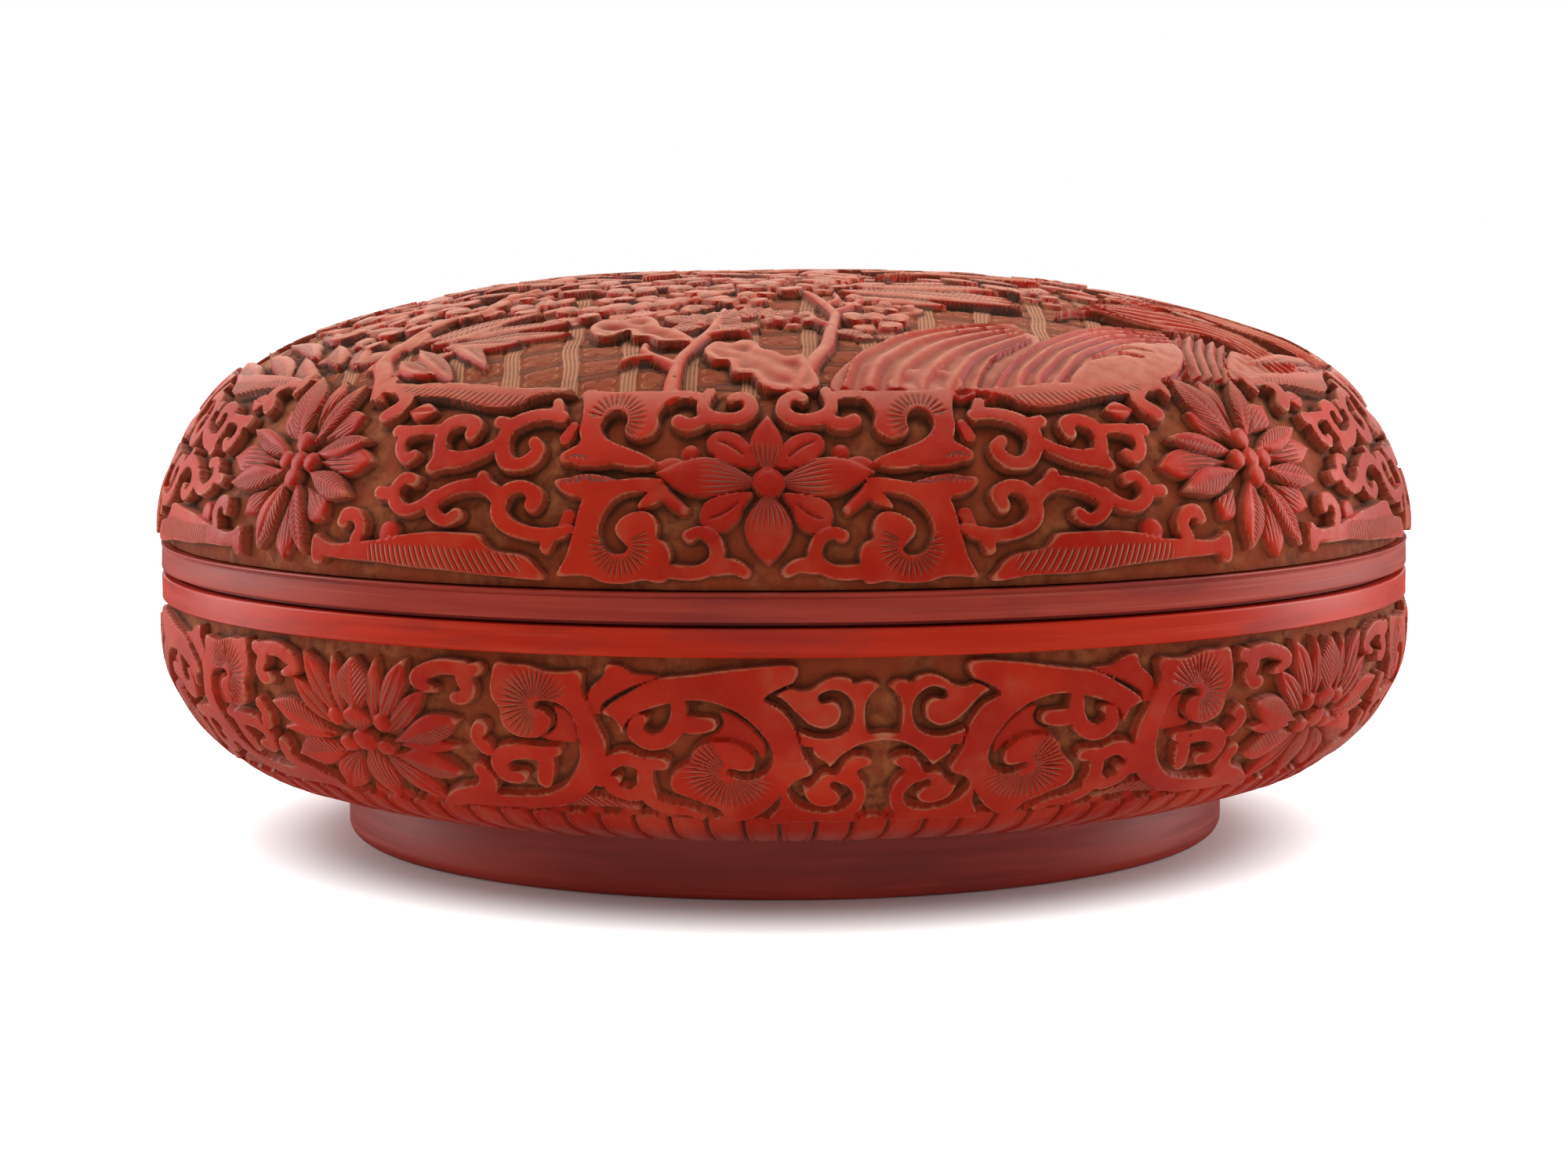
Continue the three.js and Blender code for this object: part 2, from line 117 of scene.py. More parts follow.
# The stage, in metres and watts. A softbox is its name, place, width and height, and power. The camera looks
# down by LOOK_DOWN in degrees and is turned by ROLL in radians; SENSOR_WIDTH and LENS are in mm.
FLOOR_HALF = 6
SKY_POWER = 0.16
LIGHT_TARGET = (0, 0, 0.06)
SOFTBOXES = (
    ("left_softbox", (-0.90, 0.28, 0.34), (0.5, 1.0), 9.0),
    ("right_softbox", (0.92, 0.25, 0.36), (0.5, 0.9), 9.0),
    ("front_softbox", (0.0, -1.0, 0.62), (1.6, 0.5), 2.0),
    ("back_softbox", (0.0, 1.3, 0.40), (1.8, 0.6), 3.8),
    ("top_softbox", (0.0, -0.05, 0.95), (1.1, 0.7), 6.2))
EYE, LOOK_DOWN, ROLL = (0, -0.68125, 0.1189), 5.98, -0.004
SENSOR_WIDTH, LENS = 36.0, 76.9


def smooth(value):
    """Smoothstep of value limited to 0..1."""
    t = np.clip(value, 0, 1)
    return t * t * (3 - 2 * t)


def spline(points, closed=False, steps=6):
    """Catmull-Rom curve through rows of numbers, steps points for each span."""
    p = np.asarray(points, float)
    if closed:
        p = np.vstack([p[-1:], p, p[:2]])
    else:
        p = np.vstack([2 * p[0] - p[1], p, 2 * p[-1] - p[-2]])
    t = np.linspace(0, 1, steps, endpoint=False)[None, :, None]
    a, b, c, d = (p[i:len(p) - 3 + i, None, :] for i in range(4))
    curve = 0.5 * (2 * b + (c - a) * t + (2 * a - 5 * b + 4 * c - d) * t**2 + (3 * b - a - 3 * c + d) * t**3)
    curve = curve.reshape(-1, p.shape[1])
    return curve if closed else np.vstack([curve, p[-2]])


def stroke_inside(x, y, path):
    """Distance inside a stroke whose rows are x, y and half width: the widest of its tapered segments."""
    start, along = path[:-1], np.diff(path, axis=0)
    length2 = np.maximum((along[:, :2] ** 2).sum(1), 1e-9)
    best = np.full(x.size, -1e3)
    for (sx, sy, sw), (ax, ay, aw), l2 in zip(start, along, length2):
        t = np.clip(((x - sx) * ax + (y - sy) * ay) / l2, 0, 1)
        np.maximum(best, sw + aw * t - np.hypot(x - sx - ax * t, y - sy - ay * t), out=best)
    return best


def outline_inside(x, y, ring):
    """Distance inside a closed polygon: least distance to its sides, positive where the sides wind round."""
    nearest = np.full(x.size, 1e6)
    odd = np.zeros(x.size, bool)
    for (ax, ay), (bx, by) in zip(ring, np.roll(ring, -1, axis=0)):
        ex, ey = bx - ax, by - ay
        t = np.clip(((x - ax) * ex + (y - ay) * ey) / max(ex * ex + ey * ey, 1e-9), 0, 1)
        np.minimum(nearest, (x - ax - ex * t) ** 2 + (y - ay - ey * t) ** 2, out=nearest)
        if ay != by:
            odd ^= ((ay > y) != (by > y)) & (x < ax + ex * (y - ay) / ey)
    return np.where(odd, 1, -1) * np.sqrt(nearest)


class Relief:
    """The carved height over the points of a chart, in mm, with the phase and strength of its fine cuts.

    Shapes are laid one over another and the higher one shows, as plates of different depth do.
    """

    FIELDS = ("height", "inside", "phase", "strength", "tint")

    def __init__(self, count, chart=None):
        self.height, self.phase, self.strength, self.tint = (np.zeros(count) for _ in range(4))
        self.inside = np.full(count, -5.0)
        self.chart = chart

    def taken(self, spots, chart):
        """A copy of the points spots, seen on a chart of their own."""
        part = Relief(spots.size, chart)
        for key in self.FIELDS:
            setattr(part, key, getattr(self, key)[spots])
        return part

    def put(self, spots, part):
        """Puts such a copy back."""
        for key in self.FIELDS:
            getattr(self, key)[spots] = getattr(part, key)

    def around(self, rows, reach):
        """Numbers and places of the points that lie in the box round some rows, let out by reach."""
        corners = np.asarray(rows, float)[:, :2]
        low, high = corners.min(0) - reach, corners.max(0) + reach
        x, y = self.chart
        spots = np.flatnonzero((x > low[0]) & (x < high[0]) & (y > low[1]) & (y < high[1]))
        return spots, x[spots], y[spots]

    def lay(self, spots, inside, top, phase=None, strength=None):
        """Lays a shape on the points spots: a steep wall of WALL_RUN up to top, with a small rounding."""
        inside = inside + OUTSET
        top = top - ROUNDING * (1 - np.clip(inside / EDGE_RUN, 0, 1)) ** 2
        raised = top * np.clip(inside / WALL_RUN + 0.5, 0, 1)
        over = raised > self.height[spots]
        hit = spots[over]
        self.height[hit] = raised[over]
        self.tint[hit] = 0
        self.inside[spots] = np.maximum(self.inside[spots], inside)
        if phase is None:
            self.strength[hit] = 0
            return
        self.phase[hit] = phase[over]
        self.strength[hit] = (strength * smooth(inside / EDGE_RUN))[over]

    def cut(self, spots, inside, depth):
        """Lowers the points spots by depth inside a shape, down to the ground."""
        share = smooth(inside / WALL_RUN + 0.5)
        self.height[spots] = np.maximum(self.height[spots] - depth * share, 0)
        self.inside[spots] = np.minimum(self.inside[spots], -inside)
        self.strength[spots] *= 1 - share


def stroke(relief, *shapes, height=FULL, crown=0.0):
    """Bands along splines. A row of a shape is x, y and half width; crown lowers the top at the sides."""
    for rows in shapes:
        path = spline(rows)
        widest = path[:, 2].max()
        spots, x, y = relief.around(path, widest + 1)
        inside = stroke_inside(x, y, path)
        relief.lay(spots, inside, height - crown * (1 - np.clip(inside / widest, 0, 1)) ** 2)


def channel(relief, rows, depth=FULL):
    """A groove along a spline. Each row is x, y and half width."""
    path = spline(rows)
    spots, x, y = relief.around(path, path[:, 2].max() + 1)
    relief.cut(spots, stroke_inside(x, y, path), depth)


def plate(relief, rows, height=FULL, slope=(0, 0), rays=None, hatch=None):
    """A flat plate with a smooth closed outline, tilted by slope per mm from its middle."""
    ring = spline(rows, closed=True, steps=5)
    spots, x, y = relief.around(ring, 1.5)
    middle = ring.mean(0)
    top = height + slope[0] * (x - middle[0]) + slope[1] * (y - middle[1])
    phase = strength = None
    if rays:
        phase, strength, carve = ray_cuts(x, y, **rays)
        top = top - carve
    if hatch:
        phase, strength = hatch_cuts(x, y, **hatch)
    relief.lay(spots, outline_inside(x, y, ring), top, phase, strength)


def ray_cuts(x, y, centre, first, last, inner, outer, count, depth=0.28):
    """Cuts that fan out round a centre, between two angles in degrees and two distances."""
    dx, dy = x - centre[0], y - centre[1]
    away = np.hypot(dx, dy)
    angle = np.degrees(np.arctan2(dy, dx))
    turned = (angle - first) % 360
    span = (last - first) % 360
    phase = turned / span * count
    sides = smooth(turned / 8) * smooth((span - turned) / 8) * (turned < span)
    reach = smooth((away - inner) / 0.8) * smooth((outer - away) / (0.45 * (outer - inner)))
    strength = sides * reach
    wave = np.abs(phase % 1 - 0.5) * 2
    return phase, strength, depth * strength * smooth(1 - wave / 0.8)


def hatch_cuts(x, y, origin, angle, pitch, bend=0.0, band=None):
    """Parallel cuts across a direction given in degrees; band limits them to a strip beside a line.

    band is x, y, angle, half width and half length of the strip.
    """
    a = math.radians(angle)
    along = (x - origin[0]) * math.cos(a) + (y - origin[1]) * math.sin(a)
    across = (y - origin[1]) * math.cos(a) - (x - origin[0]) * math.sin(a)
    phase = (along + bend * across**2) / pitch
    strength = np.ones(x.size)
    if band:
        bx, by, turn, half_width, half_length = band
        b = math.radians(turn)
        u = (x - bx) * math.cos(b) + (y - by) * math.sin(b)
        v = (y - by) * math.cos(b) - (x - bx) * math.sin(b)
        strength = smooth((half_width - np.abs(v)) / 0.5) * smooth((half_length - np.abs(u)) / 1.5)
    return phase, strength


def petal(relief, base, tip, half_width, height=2.3, full=0.5, veins="fan", crown=0.35, dip=0.5, crease=0.0,
          bow=0.0, sharp=1.0):
    """A petal or leaf from base to tip.

    Its half width is half_width * sin(pi * t ** k) ** sharp along its length t, with k set so that it is
    fullest at the share full. The top is crowned across and dips towards the base, bow bends its axis
    sideways, crease cuts a groove down the middle, and veins names the pattern of its fine cuts.
    """
    base, tip = np.asarray(base, float), np.asarray(tip, float)
    axis = tip - base
    length = math.hypot(*axis)
    axis = axis / length
    spots, x, y = relief.around([base, tip], half_width + 1.2 + abs(bow))
    x, y = x - base[0], y - base[1]
    u = x * axis[0] + y * axis[1]
    t = np.clip(u / length, 0, 1)
    v = y * axis[0] - x * axis[1] - bow * np.sin(math.pi * t)
    k = math.log(0.5) / math.log(full)
    width_at = lambda share: half_width * np.sin(math.pi * np.clip(share, 1e-4, 1 - 1e-4) ** k) ** sharp
    width, steps = width_at(t), np.linspace(0, 1, 41)
    slope = np.interp(t, steps, np.gradient(width_at(np.linspace(1e-4, 0.9999, 41)), length / 40))
    inside = (width - np.abs(v)) / np.sqrt(1 + np.clip(slope, -3, 3) ** 2)
    past = np.maximum(-u, u - length)
    inside = np.where(past > 0, -np.hypot(past, np.abs(v)), inside)
    share = v / np.maximum(width, 0.3)
    top = height - crown * np.clip(share, -1, 1) ** 2 - dip * (1 - t) ** 2
    if crease:
        top = top - crease * np.exp(-((v / 0.45) ** 2)) * smooth(t / 0.15) * smooth((1 - t) / 0.2)
    phase, strength = None, None
    if veins == "fan":
        phase = share * max(2.0, 2 * half_width) * 0.5 + 0.5
        strength = smooth((0.62 - t) / 0.3) * (np.abs(share) < 0.92)
    elif veins == "feather":
        phase = (u - 1.1 * np.abs(v)) / 1.05
        strength = smooth((np.abs(v) - 0.25) / 0.3) * smooth((1 - t) / 0.2) * 0.9
    elif veins == "half":
        phase = u - 0.9 * v
        strength = smooth((v + 0.1) / 0.3) * smooth((1 - t) / 0.2) * smooth(t / 0.15)
    elif veins == "along":
        phase = v / 0.95 + 0.5
        strength = smooth((0.8 - t) / 0.3) * smooth(t / 0.1)
    relief.lay(spots, inside, top, phase, strength)


def disc(relief, centre, radius, height=2.3, crown=0.3, squash=1.0, ring=0.0):
    """A round boss, crowned by crown towards its edge; ring cuts a fine line inside the edge."""
    spots, x, y = relief.around([centre], radius * max(1, squash) + 1.5)
    away = np.hypot(x - centre[0], (y - centre[1]) / squash)
    top = height - crown * np.clip(away / radius, 0, 1) ** 2
    if ring:
        top = top - ring * np.exp(-(((away - 0.8 * radius) / 0.3) ** 2))
    relief.lay(spots, radius - away, top)


def flower_a(relief):
    """The four-petalled flower, with x from its axis and y up from the mouth."""
    for side in (-1, 1):
        plate(relief, [(side * x, y) for x, y in (
            (1.6, 28.6), (2.8, 32.4), (4.6, 34.4), (7.2, 35.2), (9.4, 34.8), (10.7, 33.2), (10, 31),
            (7.4, 29))], 1.6)
        channel(relief, [(side * 4, 30.6, 0.15), (side * 6.4, 32.4, 0.3), (side * 8.6, 33.2, 0.15)], 0.5)
        plate(relief, [(side * x, y) for x, y in (
            (2.6, 23.4), (4.2, 20.6), (4.9, 18.2), (6.8, 16.4), (9.2, 16), (10.9, 17.4), (11.2, 19.8),
            (10.2, 21.8), (6.8, 23))], 1.7)
        channel(relief, [(side * 5, 21.4, 0.15), (side * 7.4, 19.6, 0.3), (side * 9.6, 18.6, 0.15)], 0.5)
        disc(relief, (side * 13.6, 31), 1.6, 1.6, 0.5)
        petal(relief, (side * 1.4, 25.6), (side * 19.4, 27), 3.55, 2.35, 0.5, "fan", crown=0.4, dip=0.9)
    petal(relief, (0, 26.6), (0.2, 38.6), 2.95, 2.35, 0.52, "fan", crown=0.35, dip=0.8)
    petal(relief, (0, 24.4), (0.4, 10.4), 3.95, 2.4, 0.54, "fan", crown=0.35, dip=0.9)
    disc(relief, (0.2, 25.4), 2.75, 2.35, 0.25, ring=0.25)


def ruyi_leaves(relief):
    """The two curled leaves beside the flower, each ending in a veined leaf that points away from it."""
    petal(relief, (13.5, 29.3), (20.6, 28.2), 1.5, 1.6, 0.5, "none")
    plate(relief, [
        (19, 28.6), (21.5, 30.2), (24.6, 31.4), (28.3, 32.8), (30.5, 34.7), (30.9, 36.6), (30, 38.6),
        (28.2, 39.4), (26.5, 38.5), (26, 36.9), (26.2, 35), (25, 33.8), (23.2, 33.4), (21, 34.2), (20, 36),
        (20.4, 38.3), (19.7, 40.2), (18.5, 42), (18.5, 43.5), (22, 43.9), (28, 43.6), (32, 43.6),
        (35.2, 44.1), (36.4, 43), (35.6, 40.5), (35, 38), (34.8, 35), (34.1, 32.6), (35.6, 31.4),
        (37.2, 30.2), (36.7, 28.7), (33, 28.7), (28, 28.3), (23, 27.6)], FULL,
        rays=dict(centre=(28.3, 37.3), first=5, last=238, inner=2.4, outer=6.2, count=17))
    petal(relief, (23.5, 28.9), (37, 29.5), 1.5, FULL + 0.06, 0.6, "half", crown=0.1, dip=0.5)
    plate(relief, [
        (17.6, 25.6), (21.5, 25.9), (26, 25.3), (30, 25.2), (34, 25.8), (37.3, 25.3), (37, 24),
        (34.8, 22.6), (32.3, 22), (32.6, 20), (33.3, 16), (34.2, 12), (35.5, 9.4), (35.7, 8.3), (33, 8.6),
        (30.2, 8.5), (27.5, 7.5), (24, 7.2), (20.5, 7.7), (17.1, 7.4), (16.3, 9.5), (15.8, 12), (16.6, 14),
        (18.2, 14.9), (18.1, 17), (19.2, 19.2), (21.2, 19.8), (23.8, 19), (25.5, 17.3), (25.4, 15.6),
        (24, 14.2), (23.2, 13.1), (24, 12.2), (25.9, 12.2), (27.8, 13.6), (28.6, 16.4), (28, 19.2),
        (26.4, 21.6), (23.8, 23), (20, 23.6)], FULL,
        rays=dict(centre=(24.6, 13.6), first=150, last=395, inner=1.9, outer=6, count=20))
    petal(relief, (23.5, 25), (37.3, 24.6), 1.6, FULL + 0.06, 0.6, "half", crown=0.1, dip=0.5)
    stroke(relief, [(13.9, 20.2, 0.9), (16.4, 22.3, 1.1), (18.6, 24.6, 1)], height=2.3, crown=0.7)
    stroke(relief, [(18.2, 23.6, 1.5), (20, 22, 1.1), (21.5, 20.9, 0.5)], height=2.2)


def small_curls(relief):
    """Curls over and under the flower."""
    stroke(relief, [
        (6.9, 42, 0.9), (5, 42.6, 1.2), (3.3, 41.4, 1.35), (3.2, 39.2, 1.45), (5, 37.6, 1.4),
        (7.8, 37.2, 1.3), (10.6, 37.7, 1.5), (12, 39.4, 1.25), (12, 41.6, 1.25), (11.1, 43.7, 1.1)], [
        (11.2, 38.3, 1.2), (12.3, 36.7, 1.35), (14.4, 36.1, 1.4), (16.4, 37, 1.35)],
        [(12.1, 42, 1.2), (15, 43, 1), (19, 42.9, 1.1)], [
        (12.9, 15.4, 1.15), (11.2, 16.1, 1), (9.1, 15.1, 1.15), (8.2, 13, 1.2), (8.6, 11, 1.3),
        (10.6, 9.6, 1.2), (13, 9.2, 1.2), (16.5, 9.4, 1.2)],
        [(3.5, 9.2, 1), (5.3, 10.3, 1.25), (8.4, 10.4, 1.5)])


def scrolls(relief):
    """Two rows of C-shaped scrolls between the flowers."""
    stroke(relief, [
        (38.9, 37.6, 1.2), (42, 38, 1.25), (46, 37.1, 1.35), (49.1, 34.9, 1.5), (49.5, 31.7, 1.5),
        (47.9, 28.6, 1.5), (45.2, 27.8, 1.35), (42.8, 28.9, 1.45), (41.9, 31, 1.4), (43.1, 32.4, 1.1)],
        [(41, 40.7, 1), (40.2, 38.8, 1.3)], [(49.2, 35.3, 1.4), (51.8, 36, 1.15)], [
        (49.6, 32.2, 1.2), (53.4, 29.9, 1.2), (57.5, 28.6, 1.5), (61.3, 28.3, 1.8), (63.4, 26.8, 1.1)], [
        (56.9, 33.4, 1.35), (56.7, 35.2, 1.5), (59.2, 36.1, 1.35), (62.2, 35.1, 1.5), (63.2, 32.5, 1.35),
        (62.4, 29.6, 1.5)], [
        (63.5, 33.8, 1.2), (67, 34, 0.95), (70.6, 33.4, 1.3), (71.8, 31.5, 1.2), (71.2, 29.4, 1.15),
        (69.4, 28.2, 1.15), (68, 29, 1)], [(71, 33.5, 1.3), (73.6, 33.6, 1.3)], [
        (41.2, 20.3, 1.3), (40.8, 22.3, 1.5), (43.2, 23.7, 1.2), (46, 22.9, 1.3), (47.3, 20.2, 1.4),
        (46.3, 17.4, 1.45), (43, 15.7, 1.25), (39, 15.3, 1.2), (35.6, 16, 1.1), (34, 16.6, 0.8)],
        [(37.6, 15.2, 1.3), (38.1, 12.9, 0.9)])
    stroke(relief, [(34.6, 19.2, 1.2), (35.5, 16.5, 1)], height=1.5)
    stroke(relief, [
        (47.1, 20.8, 1.4), (49.2, 23, 1.4), (52.2, 24, 1.3), (56, 23.6, 1.3), (59.3, 22.1, 1.4),
        (60.7, 19.7, 1.35), (59.2, 17.7, 1.2), (57, 17.3, 1.15), (55.3, 18.5, 1.25)],
        [(51.7, 25.7, 1), (50.7, 24, 1.2)], [
        (60.8, 21.8, 1.2), (63.5, 19.7, 1.15), (66.6, 18.9, 1.15), (69.3, 20.3, 1.3), (70, 22.6, 1.2),
        (68.5, 24.6, 1.15), (66.3, 24.4, 1.1)], [(70, 21.7, 1.2), (73.4, 21.8, 1.15)])
    stroke(relief, [(36.6, 36.2, 1), (37.4, 33.8, 1.2)], height=1.6)


def edge_leaves(relief):
    """Long veined leaves along both edges of the border, with a curl at their thick end."""
    plate(relief, [
        (38.6, 43.9), (44, 42.7), (46.8, 41.7), (49.5, 39.9), (53, 39.2), (57, 39.5), (61.5, 40.4),
        (67, 41.3), (74, 41.6), (79, 41.9), (84, 42.4), (85, 44.4), (80, 44.8), (68, 45.1), (57, 44.8),
        (50, 44.1), (44, 44.3)], FULL, (0, 0.05),
        hatch=dict(origin=(50, 40), angle=28, pitch=1.25, bend=-0.02, band=(60, 41.3, 4, 1.5, 19)))
    stroke(relief, [
        (83.8, 43.4, 1.35), (79.5, 43.2, 1.3), (76.2, 41.2, 1.7), (76.2, 38.8, 1.8), (78.6, 36.7, 1.6)],
        [(83.7, 45.2, 1.4), (84.2, 42.6, 1.2), (84.2, 40.6, 0.6)])
    petal(relief, (67.3, 38.6), (73.8, 38.2), 2.1, 1.9, 0.5, "none", crease=0.4, dip=0)
    plate(relief, [
        (38.8, 7.3), (39.6, 9.6), (42, 11.5), (47.5, 12.4), (49.6, 14), (51.2, 15.2), (58, 15.1),
        (66, 14.4), (72, 13.3), (77, 12.7), (82, 12.2), (84.6, 12.7), (86.6, 13.7), (87.4, 11.2), (87, 8.5),
        (85.4, 8.3), (84, 9.7), (80, 9.5), (70, 9.3), (60, 8.6), (48, 8.1)], FULL, (0, 0.03),
        hatch=dict(origin=(45, 9), angle=-38, pitch=1.15, bend=0.012, band=(58, 10.6, 0, 2.1, 16)))
    stroke(relief, [
        (76.9, 12.9, 1.3), (76, 15.4, 1.25), (77.4, 17.4, 1.25), (79.6, 17.5, 1.3), (80.5, 16.2, 1.1)])
    disc(relief, (69.9, 14.7), 2.3, 1.8, 0.35)


def blossom_b(relief):
    """The many-petalled blossom, with x from its axis and y up from the mouth."""
    back = [
        ((-2, 31), (-11.5, 37), 2.4, 1.75), ((-5, 26.8), (-23.5, 26.6), 2.9, 1.9),
        ((-6, 22), (-11.6, 15.9), 2.3, 1.75), ((1, 20), (2.2, 8.2), 2.6, 1.7),
        ((5, 22), (12.6, 16.4), 2.8, 1.8), ((5, 27.4), (20.5, 27.6), 2.7, 1.85),
        ((4, 32), (12.8, 37.4), 2.9, 1.75), ((0, 34), (-0.6, 45.4), 2.2, 1.7)]
    for base, tip, half_width, height in back:
        petal(relief, base, tip, half_width, height, 0.66, "along", dip=0.5)
    front = [
        ((-1.6, 29.5), (-9.6, 45.4), 3.9, "feather", 0.6), ((-4.2, 28.5), (-19.6, 32), 1.95, "half", 0.5),
        ((-3.6, 25), (-19.4, 21.4), 2.5, "half", 0.55), ((-1.6, 23.6), (-5.6, 9.8), 2.75, "half", 0.55),
        ((1.4, 23.4), (8.4, 9.6), 2, "feather", 0.55), ((4, 25), (17.6, 21), 2.4, "feather", 0.55),
        ((4.2, 28.8), (18, 31.8), 2.1, "half", 0.5), ((2, 30.6), (8.4, 44.4), 2.2, "feather", 0.55)]
    for base, tip, half_width, veins, full in front:
        petal(relief, base, tip, half_width, 2.4, full, veins, crown=0.25, dip=0.7, crease=0.25)
    for centre, radius in (
            ((-0.4, 30.9), 2.1), ((-3.6, 27), 1.8), ((4, 26.9), 1.9), ((0.1, 23.6), 2.1), ((0.2, 26.9), 2)):
        disc(relief, centre, radius, 2.45, 0.45)


def base_curls(relief):
    """Curled plates on the axis, with x from the axis and y down from the mouth."""
    plate(relief, [
        (2.5, 18.2), (3.2, 15.5), (3, 12.5), (1.6, 10.6), (0.9, 9.8), (2.7, 8.9), (5, 9.4), (6, 8.5),
        (8.2, 8.2), (10.4, 9), (12.4, 10.4), (14.4, 10.6), (16, 10.2), (18.6, 11.6), (17, 13.2), (15, 15.8),
        (14.4, 18), (13.8, 20.6), (12, 20.8), (11.8, 22.4), (9.6, 24.2), (8.2, 26.3), (6.8, 24.6),
        (5.2, 22.6), (1, 21.4), (-1, 21.4), (-1, 18.2)])
    channel(relief, [
        (10.2, 11.8, 0.8), (8.4, 11.4, 0.9), (6.6, 12.6, 0.95), (6.1, 14.8, 1), (7, 17, 1),
        (9.6, 18.1, 0.8), (12.6, 17.5, 0.85), (15.2, 15.8, 1.1), (17.4, 13.4, 1.1), (19.6, 11.9, 0.9)])
    channel(relief, [
        (-1, 20.8, 1.2), (3, 21.2, 1.1), (6.2, 23.2, 0.95), (8.9, 26, 0.8), (12.5, 25.6, 0.8),
        (15, 24.2, 0.9)])
    plate(relief, [
        (1.7, 24.2), (2.6, 22.9), (5.2, 22.8), (6.6, 24.6), (7.6, 26.4), (10.2, 26.5), (11.6, 28.2),
        (13.2, 29.6), (15.2, 28.6), (16.2, 28.2), (17.6, 31), (18.2, 34.6), (19.8, 37.4), (19.4, 39.4),
        (11, 38.9), (3.4, 39.4), (3.8, 37.5), (2.6, 34.6), (2.1, 31.6), (2.6, 28.6), (4.2, 26)])
    channel(relief, [
        (8.2, 28.8, 0.7), (6.4, 30, 1.05), (5.6, 32, 1.05), (7, 34.2, 1), (10, 34.9, 0.8), (13.2, 33.7, 1),
        (14.9, 31.2, 1.2), (15.4, 28.6, 1.3)])


def base_ruyi(relief):
    """The great curled head beside the axis and the long leaf over it."""
    plate(relief, [
        (15.2, 6.3), (24, 6.8), (32, 7.9), (38, 8.8), (43, 11.4), (47.8, 14.7), (45.6, 16.2), (44.4, 18.6),
        (43.8, 17), (42, 15.2), (38, 13.6), (34, 12.6), (30, 12.6), (26, 13.8), (23, 15.8), (20.2, 19),
        (19, 22.6), (19.8, 25.9), (22.4, 27.6), (25, 27.5), (26.9, 26.3), (26.4, 25.4), (24.6, 25.8),
        (22.6, 25.7), (22, 23.6), (22.9, 21.5), (24.8, 20.1), (27.4, 19.7), (30.2, 20.2), (32.2, 21.9),
        (33.2, 24.2), (35.6, 26.2), (36.7, 28.6), (36, 30.8), (33.4, 32.2), (30.8, 33.8), (28.8, 35.3),
        (27.4, 38.4), (24.6, 38.3), (21, 35.6), (17.6, 31), (15.4, 28), (12.2, 26.2), (13.8, 22.6),
        (14.4, 19.8), (15.4, 16.6), (17.4, 13.9), (20.4, 12), (17.4, 10), (15.4, 9)], FULL,
        rays=dict(centre=(26.6, 26.4), first=-70, last=170, inner=1.6, outer=8.6, count=26))
    plate(relief, [
        (22.4, 17.6), (25, 15.4), (27.6, 14.6), (27, 16.6), (28.2, 18.6), (31, 20.4), (26, 19.8),
        (22.6, 21.2), (20.6, 24), (20.4, 20.8)], 1.25)
    plate(relief, [
        (38, 8.5), (42, 8), (44, 6.9), (46.9, 6.6), (47.6, 8.6), (50.2, 11.2), (50.2, 14.2), (48.6, 15.4),
        (47.6, 13.2), (43.6, 10.8)], 1.9)


def base_scrolls(relief):
    """Curls between the two ruyi heads."""
    stroke(relief, [
        (34.6, 13.4, 1.3), (34.8, 16.6, 1.5), (36.6, 19.4, 1.55), (39.4, 20.2, 1.6), (41.7, 18.7, 1.6),
        (41.6, 16.6, 1.3), (40.5, 15.9, 0.8)], [(29.3, 16.7, 1.25), (31.8, 16.9, 1.6), (34.8, 16.6, 1.5)], [
        (37.6, 24.7, 1.2), (40.4, 24.9, 1.5), (41.2, 27.6, 1.5), (41.6, 30.2, 1.6), (44.4, 32, 1.6),
        (47.3, 30.8, 1.5), (47.9, 28.8, 1.3), (46.7, 28.3, 0.9)], [
        (41, 24.9, 1.5), (44.6, 23.6, 1.5), (48, 25.2, 1.5), (50, 28.6, 1.5)], [
        (41.2, 30.4, 1.6), (41, 33.4, 1.6), (38.4, 35.3, 1.5), (34.6, 35.9, 1.2), (32.4, 37.4, 1)], [
        (51.2, 14, 1.2), (50.8, 17.6, 1.9), (50.1, 21, 2.4), (50.9, 25.2, 2.3), (53.8, 30, 2.2),
        (58.2, 33.5, 2), (64, 35.2, 1.9), (72, 35.6, 1.9), (80, 35.8, 1.7)])
    plate(relief, [
        (43.6, 36.2), (48, 33.9), (53, 32.6), (58, 33), (60.5, 35), (56, 35.9), (50, 35.6)], 2.2,
        hatch=dict(origin=(50, 34), angle=40, pitch=1.1))
    stroke(relief, [
        (57, 22.4, 1), (60, 23, 1.5), (63.6, 22.8, 1.6), (66.9, 23.4, 1.7), (68.8, 25.4, 1.7),
        (68.2, 28, 1.7), (65.8, 28.6, 1.4), (64.7, 28.2, 0.9)],
        [(59.2, 23.6, 1.4), (60, 26.6, 1.7), (60.8, 29.4, 1.4)],
        [(70.6, 22.6, 1.4), (71.9, 20.4, 1.3), (70.9, 18.6, 1.35)], [
        (71.2, 8.3, 1.1), (73.8, 9.6, 1.5), (72.8, 12.2, 1.35), (74, 13.6, 1.2), (75.6, 13.6, 1)], [
        (74, 8.5, 1.4), (78.2, 8.3, 1.3), (82, 9.6, 1.4), (83.4, 10.9, 1.2), (81.6, 11.9, 1),
        (79.9, 12.4, 0.6)], [
        (73.2, 27.2, 1.5), (72.6, 30, 1.8), (74.4, 33, 2.1), (78.6, 34.6, 2.1), (82.2, 36.4, 1.8),
        (84.6, 37.6, 1.2)])


